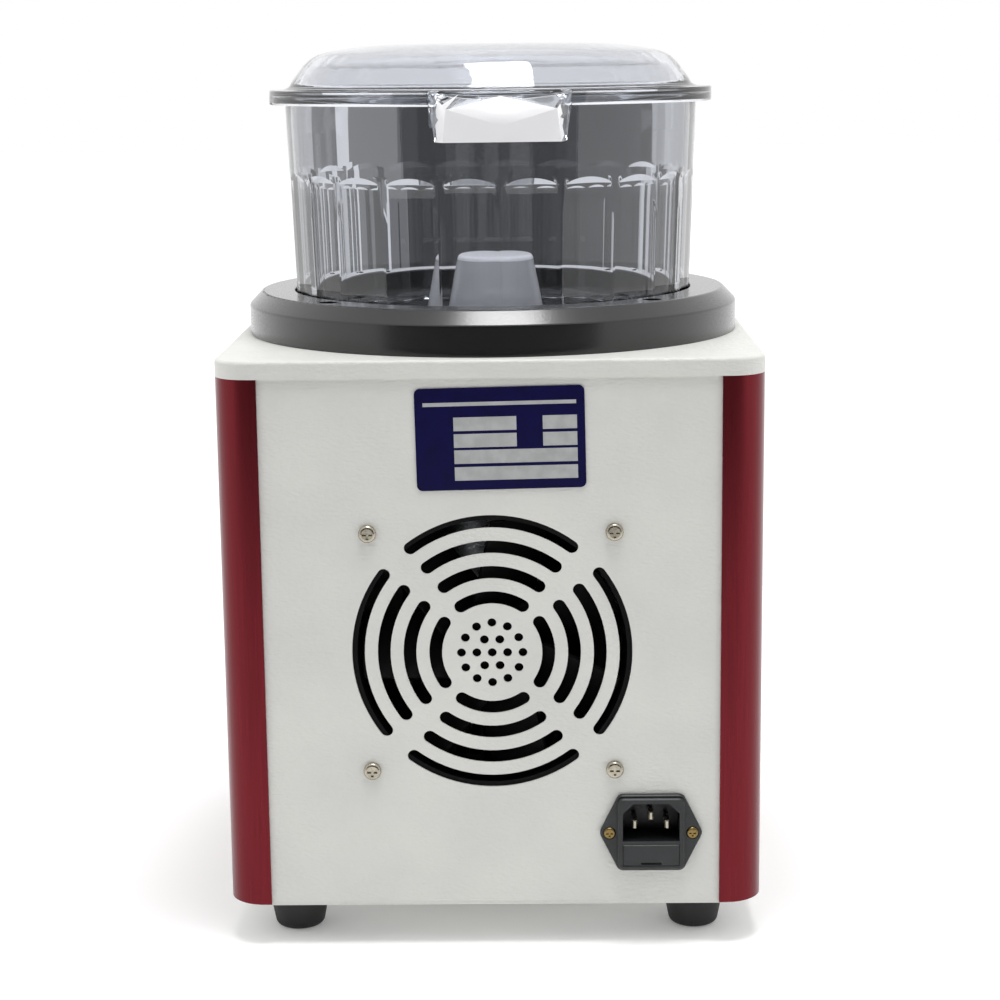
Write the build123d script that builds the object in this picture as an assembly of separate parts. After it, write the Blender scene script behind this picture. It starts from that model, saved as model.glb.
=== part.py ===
from build123d import *
import os
from math import atan2, cos, degrees, hypot, pi, radians, sin

# Magnetic tumbler: a sheet metal case on four rubber feet, a motor that spins a disc of magnets
# just under the top, and a clear bowl with a lift-off lid that stands in a black ring above it.
# Millimetres. +Z is up, the user stands at -Y, and the fan and mains inlet are on the +Y side.
# The origin is on the floor, under the axis of the bowl and motor.

# ---- case ----
BODY_W = 233.8
BODY_D = 238.2
BODY_CORNER_R = 16.0
PANEL_H = 231.3
SHEET_T = 1.2           # front and rear panels
SHELL_T = 1.2           # red side shells
SHELL_WRAP = 19.0       # how far a side shell reaches round onto the front and the rear
SHELL_DROP = 0.7        # the shells hang this far below the panels
BASE_T = 1.5
LIP = 16.0              # bent lips that take the case screws
TOP_H = 7.7
TOP_T = 2.0
TOP_EDGE_R = 1.5
DECK_LEDGE = 6.0        # the deck's opening is this much smaller than the ring's bore
FIT_GAP = 0.2           # between parts that only locate each other

# ---- feet ----
FOOT_H = 18.5
FOOT_TOP_R = 13.15
FOOT_END_R = 10.6
FOOT_ROUND = 3.0
FOOT_IN_X = 28.3        # a foot's centre from the case's side
FOOT_IN_Y = 29.1        # and from its front or rear
FOOT_X = BODY_W / 2 - FOOT_IN_X
FOOT_Y = BODY_D / 2 - FOOT_IN_Y

# ---- screws ----
SCREW_R = 2.0
SCREW_GAP = 0.2
SCREW_HOLE_R = SCREW_R + SCREW_GAP
HEAD_R = 3.85
HEAD_H = 2.4
SUNK_HEAD_R = 4.0       # countersunk head
SUNK_HEAD_H = 2.0
SUNK_DEPTH = 0.5        # how far a countersunk head lies below the face
CROSS_W = 1.1           # width of a cross recess's arms
CROSS_L = 4.4

# ---- ring that the bowl stands in ----
RING_TOP_W = 14.92      # width of the flat top with its inner round
RING_SLOPE_W = 6.0      # width of the sloped shoulder outside it
RING_SIDE_H = 13.3
RING_H = 19.5
RING_WALL = 3.0
RING_FLOOR = 2.0
RING_SCREW_IN = 8.02    # from the bore to the centres of the four screws
RING_SCREW_DEPTH = 6.9
BOWL_GAP = 0.6          # between the ring's bore and the bowl

# ---- bowl ----
BOWL_FOOT_R = 90.7
BOWL_FLARE = 3.7        # the rim is this much wider in radius than the foot
BOWL_RIM_R = BOWL_FOOT_R + BOWL_FLARE
BOWL_H = 105.7
BOWL_WALL = 2.8
BOWL_FLOOR = 3.2
BOWL_FOOT_ROUND = 3.0
BOWL_LIFT = 0.2         # film of air under the bowl
FACETS = 22
FACET_TOP = 68.2        # height of the flats above the bowl's underside
FACET_ARCH = 3.2
FACET_LAND = 0.08       # leaves a narrow round land between two flats
FACET_TURN = 3.3        # angle of one land from +Y towards -X
LIP_W = 3.2
LIP_R = BOWL_RIM_R + LIP_W
LIP_H = 3.2
HUMP_FOOT_R = 28.0
HUMP_TOP_R = 19.0
HUMP_TOP = 32.0         # height of the hump above the bowl's underside
HUMP_WALL = 2.4

# ---- lid ----
LID_SKIRT_H = 6.6
LID_H = 26.6
LID_WALL = 2.4
LID_GAP = 0.2           # film of air between the lid and the bowl's lip
LID_SIDE_GAP = 1.3      # between the bowl's lip and the lid's skirt
LID_R = LIP_R + LID_SIDE_GAP + LID_WALL
DOME_OUTLINE = [        # the crown's section, as shares of its radius and of its rise
    (0.9659, 0.0750), (0.9460, 0.2350), (0.9166, 0.4200), (0.8852, 0.5950),
    (0.8359, 0.7550), (0.7520, 0.8600), (0.5716, 0.9650), (0.2832, 0.9940),
]
LID_STEP = 5.95         # width of the flat rim round the crown
LID_STEP_R = LID_R - LID_STEP
TAB_DROP = 14.5         # the pull tab hangs this far below the skirt
TAB_WALL = 2.0
TAB_OUT = 8.9
TAB_REACH = LID_R + TAB_OUT
TAB_FRONT_TOP_W = 44.4
TAB_FRONT_END_W = 49.6
TAB_BACK_TOP_W = 61.5
TAB_BACK_END_W = 58.0
TAB_SLOPE = 0.6         # fall of its top per millimetre outwards

# ---- cooling fan and its vent ----
FAN_SIZE = 120.0
FAN_T = 25.0
FAN_PITCH = 105.0
FAN_UP = 112.4          # height of its centre above the panel's lower edge
FAN_BORE_R = 58.0
FAN_TIP_R = 56.4
FAN_HUB_R = 20.0
FAN_BLADES = 7
FAN_PITCH_ANGLE = 35.0
FAN_SHAFT_R = 1.5
FAN_BUSH_R = 3.5
SLOT_W = 5.5
SLOT_FIRST_R = 24.25
SLOT_PITCH = 11.05
SLOT_ROWS = 4
SLOT_HALF_ANGLE = 39.5
DOT_R = 1.9
DOT_PITCH = 6.6
DOT_RINGS = 2

# ---- mains inlet with its fuse drawer ----
INLET_X = -68.1
INLET_UP = 31.55
INLET_PITCH = 36.0
INLET_TIP = 22.45
INLET_HALF_H = 17.2
INLET_FLAT = 14.0
INLET_FLANGE_T = 2.2
INLET_BOSS_T = 1.9
INLET_BOSS_X = 14.5
INLET_BOSS_H = 16.1
INLET_CORNER_R = 3.2
INLET_BOSS_R = 2.5
INLET_DEPTH = 22.0
CAVITY_W = 24.6
CAVITY_H = 16.9
CAVITY_UP = 5.3         # centre of the cavity above the inlet's centre
CAVITY_DEPTH = 16.5
CAVITY_CUT = 4.5
PIN_SPACING = 14.0
PIN_OFFSET = 2.0
PIN_W = 2.0
PIN_H = 4.0
PIN_TAG = 8.0           # length of a pin's solder tag behind the housing
PIN_SUNK = 3.0          # a pin's tip behind the inlet's face
DRAWER_W = 24.4
DRAWER_H = 9.7
NOTCH_HALF_W = 4.5      # finger notch in the drawer's face
NOTCH_H = 1.0
NOTCH_UP = 0.7          # above the drawer's lower edge
DRAWER_DOWN = 9.55      # centre of the drawer below the inlet's centre
FUSE_R = 2.6
FUSE_L = 20.0
CARRIER_W = 21.8
CARRIER_H = 7.2
INLET_BODY_H = 15.2     # half height of the part inside the case
INLET_SCREW_R = 1.5
INLET_HEAD_R = 2.6

# ---- nameplate ----
PLATE_W = 71.6
PLATE_H = 43.6
PLATE_T = 0.6
PLATE_CORNER_R = 2.5
PLATE_X = -4.5
PLATE_UP = 205.6
PLATE_TURN = 1.0

# ---- motor and magnet disc ----
DISC_R = 78.0
DISC_T = 10.0
DISC_GAP = 1.0          # below the top plate
MAGNET_R = 12.0
MAGNET_T = 8.0
MAGNETS = 8
MAGNET_PITCH_R = 58.0
SHAFT_R = 6.0
RUNNING_GAP = 0.05
HUB_FLANGE_R = 28.0
HUB_FLANGE_T = 4.0
HUB_R = 14.0
HUB_H = 16.0
BRACKET_T = 3.0
BRACKET_DROP = 39.0     # bracket's top face below the top plate
BRACKET_EDGE = 12.3     # from the standoffs' centres to the bracket's edge
STANDOFF_R = 5.0
MOTOR_R = 45.0
MOTOR_CAN_H = 93.0
MOTOR_WALL = 2.0
MOTOR_CAP_H = 12.0
MOTOR_BOLT_R = 30.0
BEARING_R = 14.0
BEARING_T = 9.0
STATOR_BORE_R = 26.0
STATOR_H = 55.0
AIR_GAP = 0.5

# ---- control board ----
BOARD_W = 96.0
BOARD_D = 60.0
BOARD_T = 1.6
BOARD_RAISE = 12.0
BOARD_IN = 57.1         # the board's centre from the case's front
BOARD_Y = BOARD_IN - BODY_D / 2
BOARD_MARGIN = 8.0
RELAY_W = 15.0
RELAY_D = 12.0
RELAY_GAP = 3.0
CAPACITOR_R = 8.0
CAPACITOR_H = 25.0
SINK_X = 8.0
SINK_W = 30.0
SINK_D = 24.0
SINK_BASE = 4.0
SINK_H = 24.0
SINK_FINS = 5
SINK_FIN_T = 2.0
STRIP_X = 20.0
STRIP_W = 20.0
STRIP_D = 10.0
RUN_CAP_R = 18.0
RUN_CAP_L = 65.0
RUN_CAP_X = 78.0
RUN_CAP_Y0 = -45.0
RUN_CAP_RAISE = 2.0     # its saddle holds it this far above the base
RUN_CAP_FOOT = 24.0
BOARD_HALF_X = BOARD_W / 2 - 5.0
BOARD_HALF_Y = BOARD_D / 2 - 5.0

# ---- front controls ----
OVERLAY_W = 150.0
OVERLAY_H = 110.0
OVERLAY_T = 0.4
OVERLAY_UP = 140.0
KNOB_X = 38.0
KNOB_UP = 158.0
SWITCH_UP = 108.0
KNOB_R = 13.5
KNOB_GRIP_R = 10.6
KNOB_H = 16.5
KNOB_FLUTES = 14
SPINDLE_R = 3.0
BUSH_R = 4.75
NUT_R = 7.2
NUT_T = 2.4
LAMP_R = 4.0
ROCKER_TILT = 8.0
ROCKER_GAP = 0.4
POWER_ROCKER = (16.0, 10.6)      # width and half height
DIRECTION_ROCKER = (9.6, 7.8)
BEZEL_RIM = 2.6
BEZEL_T = 2.0
PIVOT_R = 1.0
ROCKER_TIP = 5.0        # a rocker's raised ends stand this far out from its pivot
SWITCH_WALL = 1.3
TIMER_DEPTH = 30.0
SPEED_DEPTH = 10.0

# ---- heights and faces that follow ----
Z_BASE = FOOT_H
Z_CASE = Z_BASE + BASE_T
Z_SEAM = Z_CASE + PANEL_H
Z_DECK = Z_SEAM + TOP_H
Z_UNDER_DECK = Z_DECK - TOP_T
Z_RING_FLOOR = Z_DECK + RING_FLOOR
Z_BOWL = Z_RING_FLOOR + BOWL_LIFT
Z_BOWL_RIM = Z_BOWL + BOWL_H
Z_LID_TOP = Z_BOWL_RIM + LID_GAP + LID_WALL
Z_DISC_TOP = Z_UNDER_DECK - DISC_GAP
Z_DISC = Z_DISC_TOP - DISC_T
Z_BRACKET = Z_UNDER_DECK - BRACKET_DROP - BRACKET_T
Z_CAP = Z_BRACKET - MOTOR_CAP_H
Z_CAN = Z_CAP - MOTOR_CAN_H
Z_MID_MOTOR = Z_CAN + MOTOR_CAN_H / 2
Z_FAN = Z_CASE + FAN_UP
Z_INLET = Z_CASE + INLET_UP
X_SIDE = BODY_W / 2
Y_PANEL = BODY_D / 2 - SHELL_T
Y_INSIDE = Y_PANEL - SHEET_T
PANEL_HALF_W = X_SIDE - BODY_CORNER_R - 0.5
RING_BORE_R = BOWL_FOOT_R + BOWL_FLARE * RING_H / BOWL_H + BOWL_GAP
RING_TOP_R = RING_BORE_R + RING_TOP_W
RING_R = RING_TOP_R + RING_SLOPE_W
RING_SCREW_R = RING_BORE_R + RING_SCREW_IN
DECK_OPENING_R = RING_BORE_R - DECK_LEDGE
BRACKET_W = 2 * (RING_SCREW_R * sin(radians(45)) + BRACKET_EDGE)
TAB_NEAR = LID_R - LID_WALL - 2.0
Y_INLET_FACE = Y_PANEL + INLET_FLANGE_T
Y_CARRIER = Y_INLET_FACE - 19.0
Y_FUSE = Y_CARRIER + FUSE_R + 1.2
Y_FACE = -Y_PANEL - OVERLAY_T
Y_KNOB = Y_FACE - 0.5
Y_PIVOT = Y_FACE + 1.0
SQUARE = [(-1, -1), (-1, 1), (1, -1), (1, 1)]


# ---- small helpers ----
def block(x0, x1, y0, y1, z0, z1):
    """A box between two corners."""
    middle = ((x0 + x1) / 2, (y0 + y1) / 2, (z0 + z1) / 2)
    return Pos(*middle) * Box(x1 - x0, y1 - y0, z1 - z0)


def post(r, z0, z1, x=0.0, y=0.0):
    """An upright cylinder between two heights."""
    return Pos(x, y, (z0 + z1) / 2) * Cylinder(r, z1 - z0)


def rod_y(r, y0, y1, x, z):
    """A cylinder along Y."""
    return Pos(x, (y0 + y1) / 2, z) * Rot(90, 0, 0) * Cylinder(r, y1 - y0)


def rod_x(r, x0, x1, y, z):
    """A cylinder along X."""
    return Pos((x0 + x1) / 2, y, z) * Rot(0, 90, 0) * Cylinder(r, x1 - x0)


def turned(points):
    """A closed outline of (radius, height) points turned about Z; a third value rounds that corner."""
    outline = Plane.XZ * Polygon(*[(p[0], p[1]) for p in points], align=None)
    for p in points:
        if len(p) > 2:
            corner = outline.vertices().sort_by_distance((p[0], 0, p[1]))[0]
            outline = fillet(corner, p[2])
    return revolve(outline, Axis.Z)


def across(sketch, y0, y1):
    """A sketch in X and Z, made solid from y0 to y1."""
    return extrude(Plane.XZ.offset(-y1) * sketch, amount=y1 - y0, dir=(0, -1, 0))


def slab(w, d, r, z0, z1):
    """A plate with rounded upright corners."""
    return Pos(0, 0, z0) * extrude(RectangleRounded(w, d, r), amount=z1 - z0)


def screw(shank_r, head_r, head_h, length):
    """A cross-recessed pan head screw, its head above z=0 and its shank below."""
    head = turned([(0, 0), (head_r, 0), (head_r, head_h, head_h * 0.6), (0, head_h)])
    arms = Box(CROSS_L, CROSS_W, head_h) + Box(CROSS_W, CROSS_L, head_h)
    return head + post(shank_r, -length, 0.0) - Pos(0, 0, head_h) * arms


def group(solids):
    """Loose pieces that share a node."""
    return Compound([solid for piece in solids for solid in piece.solids()])


# ---- feet and base ----
def foot(x, y):
    """A tapered rubber foot with a recess for its screw."""
    body = turned([
        (SCREW_HOLE_R, FOOT_H), (FOOT_TOP_R, FOOT_H, 0.8), (FOOT_TOP_R - 0.4, FOOT_H * 0.6),
        (FOOT_END_R, 0.0, FOOT_ROUND), (HEAD_R + 1.2, 0.0), (HEAD_R + 1.2, FOOT_H * 0.55),
        (SCREW_HOLE_R, FOOT_H * 0.55),
    ])
    return Pos(x, y, 0) * body


def foot_screws():
    """Four screws that hold the feet, heads up inside them."""
    up = Rot(180, 0, 0) * screw(SCREW_R, HEAD_R, HEAD_H, FOOT_H * 0.45 + BASE_T + 4.0)
    return group([Pos(sx * FOOT_X, sy * FOOT_Y, FOOT_H * 0.55) * up for sx, sy in SQUARE])


def case_screw_spots():
    """Where the lips of the shells and panels are screwed, the same at the base and the top."""
    shell_x = X_SIDE - SHELL_T - LIP / 2
    panel_y = Y_INSIDE - LIP / 2
    spots = [(sx * shell_x, sy * BODY_D / 4) for sx, sy in SQUARE]
    return spots + [(sx * BODY_W / 4, sy * panel_y) for sx, sy in SQUARE]


def inside_outline(gap):
    """Width, depth and corner radius of the space inside the shells, less a gap."""
    inset = SHELL_T + gap
    return BODY_W - 2 * inset, BODY_D - 2 * inset, BODY_CORNER_R - inset


def base_plate():
    """Steel floor of the case, with holes for its screws and rows of air slots."""
    plate = slab(*inside_outline(FIT_GAP), Z_BASE, Z_CASE)
    for x, y in case_screw_spots():
        plate -= post(SCREW_HOLE_R, Z_BASE - 1, Z_CASE + 1, x, y)
    for sx, sy in SQUARE:
        plate -= post(SCREW_HOLE_R, Z_BASE - 1, Z_CASE + 1, sx * FOOT_X, sy * FOOT_Y)
        plate -= post(SCREW_HOLE_R, Z_BASE - 1, Z_CASE + 1, sx * BOARD_HALF_X, BOARD_Y + sy * BOARD_HALF_Y)
    slots = Sketch() + GridLocations(12.0, 60.0, 6, 1) * SlotOverall(44.0, 4.0, rotation=90)
    return plate - Pos(0, BODY_D / 5, Z_BASE - 1) * extrude(slots, amount=BASE_T + 2)


def base_screws():
    """Eight screws up through the base into the lips."""
    up = Rot(180, 0, 0) * screw(SCREW_R, HEAD_R, HEAD_H, BASE_T + 5.0)
    return group([Pos(x, y, Z_BASE) * up for x, y in case_screw_spots()])


# ---- case ----
def side_shell(side):
    """A red side shell: one side wall, two round corners, a wrap on each face and two lips."""
    z0 = Z_CASE - SHELL_DROP
    wall = slab(BODY_W, BODY_D, BODY_CORNER_R, z0, Z_SEAM)
    wall -= slab(*inside_outline(0.0), z0 - 1, Z_SEAM + 1)
    lips = slab(*inside_outline(0.0), Z_CASE, Z_CASE + SHEET_T)
    lips += slab(*inside_outline(0.0), Z_SEAM - SHEET_T, Z_SEAM)
    x_lip = X_SIDE - SHELL_T - LIP
    lips &= block(x_lip, X_SIDE, -BODY_D / 2 + 24, BODY_D / 2 - 24, z0, Z_SEAM)
    shell = (wall & block(X_SIDE - SHELL_WRAP, X_SIDE + 1, -BODY_D, BODY_D, z0 - 1, Z_SEAM + 1)) + lips
    for x, y in case_screw_spots():
        shell -= post(SCREW_HOLE_R, z0 - 1, Z_SEAM + 1, x, y)
    return shell if side > 0 else mirror(shell, about=Plane.YZ)


def plain_panel():
    """The sheet that the front and rear panels start as, bent to lips at its top and bottom, at +Y."""
    half = PANEL_HALF_W
    sheet = block(-half, half, Y_INSIDE, Y_PANEL, Z_CASE, Z_SEAM)
    lip_half = X_SIDE - SHELL_T - LIP - 2.0
    sheet += block(-lip_half, lip_half, Y_INSIDE - LIP, Y_INSIDE, Z_CASE, Z_CASE + SHEET_T)
    sheet += block(-lip_half, lip_half, Y_INSIDE - LIP, Y_INSIDE, Z_SEAM - SHEET_T, Z_SEAM)
    for x, y in case_screw_spots():
        sheet -= post(SCREW_HOLE_R, Z_CASE - 1, Z_SEAM + 1, x, y)
    return sheet


def vent_pattern():
    """Four fans of arc slots about a small hexagon of round holes."""
    holes = Sketch()
    for row in range(SLOT_ROWS):
        r = SLOT_FIRST_R + row * SLOT_PITCH
        half = SLOT_HALF_ANGLE - degrees(SLOT_W / 2 / r)
        for quarter in range(4):
            arc = CenterArc((0, 0), r, 90 * quarter - half, 2 * half)
            holes += SlotArc(arc, SLOT_W)
    holes += Circle(DOT_R)
    for ring in range(1, DOT_RINGS + 1):
        holes += PolarLocations(ring * DOT_PITCH, 6 * ring) * Circle(DOT_R)
    return Pos(0, Z_FAN) * holes


def rear_panel():
    """White rear panel with the fan's vent and screw holes and the inlet's opening."""
    sheet = plain_panel() - across(vent_pattern(), Y_INSIDE - 1, Y_PANEL + 1)
    for sx, sz in SQUARE:
        x, z = sx * FAN_PITCH / 2, Z_FAN + sz * FAN_PITCH / 2
        sheet -= rod_y(SCREW_HOLE_R, Y_INSIDE - 1, Y_PANEL + 1, x, z)
    opening = Pos(INLET_X, Z_INLET) * Rectangle(2 * INLET_FLAT + FIT_GAP, 2 * INLET_BODY_H + FIT_GAP)
    sheet -= across(opening, Y_INSIDE - 1, Y_PANEL + 1)
    for side in (-1, 1):
        x = INLET_X + side * INLET_PITCH / 2
        sheet -= rod_y(INLET_SCREW_R + 0.1, Y_INSIDE - 1, Y_PANEL + 1, x, Z_INLET)
    return sheet


def front_panel():
    """White front panel with the openings of its controls."""
    sheet = mirror(plain_panel(), about=Plane.XZ)
    y0, y1 = -Y_PANEL - 1, -Y_INSIDE + 1
    for side in (-1, 1):
        sheet -= rod_y(BUSH_R + 0.15, y0, y1, side * KNOB_X, Z_CASE + KNOB_UP)
    for x, size in ((-KNOB_X, POWER_ROCKER), (KNOB_X, DIRECTION_ROCKER)):
        opening = Rectangle(switch_width(size) + FIT_GAP, switch_height(size) + FIT_GAP)
        sheet -= across(Pos(x, Z_CASE + SWITCH_UP) * opening, y0, y1)
    return sheet - rod_y(LAMP_R + 0.15, y0, y1, 0, Z_CASE + SWITCH_UP)


def top_plate():
    """White top: a shallow pan upside down, open in the middle, with bosses for the case screws."""
    plate = slab(BODY_W, BODY_D, BODY_CORNER_R, Z_SEAM, Z_DECK)
    plate = fillet(plate.faces().sort_by(Axis.Z)[-1].edges(), TOP_EDGE_R)
    inner_w, inner_d, inner_r = BODY_W - 2 * TOP_T, BODY_D - 2 * TOP_T, BODY_CORNER_R - TOP_T
    plate -= slab(inner_w, inner_d, inner_r, Z_SEAM - 1, Z_UNDER_DECK)
    for x, y in case_screw_spots():
        plate += post(SCREW_R + 2.5, Z_SEAM, Z_UNDER_DECK + 0.5, x, y)
        plate -= post(SCREW_HOLE_R, Z_SEAM - 1, Z_UNDER_DECK, x, y)
    plate -= post(DECK_OPENING_R, Z_SEAM - 1, Z_DECK + 1)
    for x, y in ring_screw_spots():
        plate -= post(SCREW_HOLE_R, Z_SEAM, Z_DECK + 1, x, y)
    return plate


def top_screws():
    """Eight screws up through the top lips into the top plate's bosses."""
    up = Rot(180, 0, 0) * screw(SCREW_R, HEAD_R, HEAD_H, SHEET_T + TOP_H - TOP_T - 1.0)
    return group([Pos(x, y, Z_SEAM - SHEET_T) * up for x, y in case_screw_spots()])


# ---- ring, bowl and lid ----
def ring_screw_spots():
    """The four screws of the ring, on the diagonals."""
    reach = RING_SCREW_R * sin(radians(45))
    return [(sx * reach, sy * reach) for sx, sy in SQUARE]


def bowl_ring():
    """Black moulded ring with a thin floor for the bowl, hollow below between its two walls."""
    bore, top = RING_BORE_R, Z_DECK + RING_H
    side_top = Z_DECK + RING_SIDE_H
    cut = RING_WALL * 0.45
    ring = turned([
        (0, Z_DECK), (0, Z_RING_FLOOR), (bore, Z_RING_FLOOR), (bore, top, 0.8),
        (RING_TOP_R, top, 1.6), (RING_R, side_top, 1.6), (RING_R, Z_DECK, 0.5),
        (RING_R - RING_WALL, Z_DECK), (RING_R - RING_WALL, side_top - cut),
        (RING_TOP_R - cut, top - RING_WALL), (bore + RING_WALL, top - RING_WALL),
        (bore + RING_WALL, Z_DECK),
    ])
    for x, y in ring_screw_spots():
        ring += post(HEAD_R + 1.7, Z_DECK, top - RING_WALL + 0.5, x, y)
        ring -= post(HEAD_R + 0.3, top - RING_SCREW_DEPTH - HEAD_H, top + 1, x, y)
        ring -= post(SCREW_HOLE_R, Z_DECK - 1, top, x, y)
    return ring


def ring_screws():
    """Four screws down through the ring and the top plate into the motor's standoffs."""
    seat = Z_DECK + RING_H - RING_SCREW_DEPTH - HEAD_H
    long_screw = screw(SCREW_R, HEAD_R, HEAD_H, seat - Z_UNDER_DECK + 12.0)
    return group([Pos(x, y, seat) * long_screw for x, y in ring_screw_spots()])


def bowl_radius(height):
    """Outer radius of the bowl at a height above its underside."""
    return BOWL_FOOT_R + (BOWL_RIM_R - BOWL_FOOT_R) * height / BOWL_H


def facet_block(height0, height1, apothem0, apothem1):
    """A many-sided frustum between two heights above the bowl's underside."""
    turn = 90 + FACET_TURN
    ends = []
    for height, apothem in ((height0, apothem0), (height1, apothem1)):
        sides = RegularPolygon(apothem / cos(pi / FACETS), FACETS, rotation=turn)
        ends.append(Pos(0, 0, Z_BOWL + height) * sides)
    return loft(ends, ruled=True)


def facet_apothem(height):
    """Distance of a flat from the axis, which leaves narrow round lands between flats."""
    return (bowl_radius(height) + FACET_LAND) * cos(pi / FACETS)


def bowl():
    """Clear bowl: flats round its lower part, a plain band, a lip, and a hollow hump in its floor."""
    rim, wall = BOWL_H, BOWL_WALL
    outside = turned([
        (0, Z_BOWL), (BOWL_FOOT_R, Z_BOWL, BOWL_FOOT_ROUND), (BOWL_RIM_R, Z_BOWL_RIM - LIP_H, 0.8),
        (LIP_R, Z_BOWL_RIM - LIP_H), (LIP_R, Z_BOWL_RIM, 0.6), (0, Z_BOWL_RIM),
    ])
    arch_end = FACET_TOP + FACET_ARCH
    flats = facet_block(-1.0, FACET_TOP, facet_apothem(-1.0), facet_apothem(FACET_TOP))
    flats += facet_block(FACET_TOP, arch_end, facet_apothem(FACET_TOP), bowl_radius(arch_end))
    flats += post(BOWL_RIM_R + 20, Z_BOWL + arch_end, Z_BOWL_RIM + 1)
    z_floor = Z_BOWL + BOWL_FLOOR
    inside = turned([
        (0, Z_BOWL + HUMP_TOP), (HUMP_TOP_R, Z_BOWL + HUMP_TOP, 3.0), (HUMP_FOOT_R, z_floor, 3.0),
        (BOWL_FOOT_R - wall, z_floor, 6.0), (BOWL_RIM_R - wall, Z_BOWL + rim + 1),
        (0, Z_BOWL + rim + 1),
    ])
    under_hump = turned([
        (0, Z_BOWL - 1), (HUMP_FOOT_R - HUMP_WALL, Z_BOWL - 1), (HUMP_FOOT_R - HUMP_WALL, Z_BOWL),
        (HUMP_TOP_R - HUMP_WALL, Z_BOWL + HUMP_TOP - HUMP_WALL, 2.0),
        (0, Z_BOWL + HUMP_TOP - HUMP_WALL),
    ])
    return (outside & flats) - inside - under_hump


def dome_solid(inset, z0):
    """The lid's crown filled down to z0, its outside drawn in by an inset."""
    z, top = Z_LID_TOP, LID_H - LID_SKIRT_H - inset
    rise = LID_H - LID_SKIRT_H
    path = [(LID_STEP_R * r - inset, 0, z + rise * h - inset) for r, h in DOME_OUTLINE]
    crown = Spline(*path, (0, 0, z + top), tangents=[(-0.4, 0, 1), (-1, 0, 0)])
    axis = Line((0, 0, z + top), (0, 0, z0))
    foot_line = Line((0, 0, z0), (path[0][0], 0, z0))
    side = Line((path[0][0], 0, z0), path[0])
    return revolve(make_face([crown, axis, foot_line, side]), Axis.Z)


def tab_block(inset, drop):
    """The pull tab's hood as a full block, wider at its back than its front, drawn in by an inset."""
    ends = []
    for z, front, back, reach in (
        (Z_LID_TOP, TAB_FRONT_TOP_W, TAB_BACK_TOP_W, TAB_REACH - 0.6),
        (Z_LID_TOP - LID_SKIRT_H - drop, TAB_FRONT_END_W, TAB_BACK_END_W, TAB_REACH + 0.6),
    ):
        half_f, half_b = front / 2 - inset, back / 2 - inset
        near, far = TAB_NEAR - inset, reach - inset
        corners = [(-half_b, near), (-half_f, far), (half_f, far), (half_b, near)]
        ends.append(Pos(0, 0, z) * Polygon(*corners, align=None))
    return loft(ends, ruled=True)


def beside(points):
    """A solid from an outline in Y and Z, wide enough to cross the pull tab."""
    return extrude(Plane.YZ * Polygon(*points, align=None), amount=TAB_BACK_TOP_W, both=True)


def pull_tab():
    """Hollow hood at the lid's edge, open below and behind, with a sloped top, at +Y."""
    y0, y1, z = LID_R - LID_WALL - 1.4, TAB_REACH + 5.0, Z_LID_TOP
    fall = TAB_SLOPE * (y1 - y0)
    skirt_end = z - LID_SKIRT_H
    sheet = beside([(y0, z), (y1, z - fall), (y1, z - fall - TAB_WALL), (y0, z - TAB_WALL)])
    above = beside([(y0, z), (y1, z - fall), (y1, z + 5), (y0, z + 5)])
    slant_end = skirt_end - 2 * TAB_DROP
    behind = beside([(0, z + 5), (0, slant_end), (TAB_REACH - 5.0, slant_end), (TAB_NEAR, skirt_end),
                     (TAB_NEAR, z + 5)])
    hood = tab_block(0.0, TAB_DROP)
    return (hood - tab_block(TAB_WALL, TAB_DROP + 1.0) - above - behind) + (hood & sheet)


def lid():
    """Clear lid: a domed crown on a skirt that caps the bowl's lip, with a pull tab front and rear."""
    z, skirt_end = Z_LID_TOP, Z_LID_TOP - LID_SKIRT_H
    in_crown = LID_STEP_R - 4.8
    rim = turned([
        (LID_R - LID_WALL, skirt_end), (LID_R, skirt_end, 0.8), (LID_R, z, 1.0), (LID_STEP_R, z),
        (LID_STEP_R - 3.3, z + 1.4), (in_crown, z + 1.4), (in_crown, z - LID_WALL),
        (LID_R - LID_WALL, z - LID_WALL),
    ])
    crown = dome_solid(0.0, z - LID_WALL) - dome_solid(LID_WALL, z - LID_WALL - 1.0)
    locator_r = BOWL_RIM_R - BOWL_WALL - 1.2
    locator = turned([
        (locator_r - 1.8, z - 0.4), (locator_r - 1.8, skirt_end, 0.5),
        (locator_r, skirt_end, 0.5), (locator_r, z - 0.4),
    ])
    tabs = Rot(0, 0, FACET_TURN) * pull_tab() + Rot(0, 0, FACET_TURN + 180) * pull_tab()
    return rim + crown + locator + tabs


# ---- nameplate ----
def nameplate():
    """Small rating plate on the rear panel, stuck on very slightly turned."""
    plate = RectangleRounded(PLATE_W, PLATE_H, PLATE_CORNER_R)
    upright = across(plate, Y_PANEL, Y_PANEL + PLATE_T)
    return Pos(PLATE_X, 0, Z_CASE + PLATE_UP) * Rot(0, PLATE_TURN, 0) * upright


# ---- mains inlet ----
def inlet_block(half_w, z_low, z_high, y0, y1):
    """A block about the inlet's centre line."""
    return block(INLET_X - half_w, INLET_X + half_w, y0, y1, Z_INLET + z_low, Z_INLET + z_high)


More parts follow.
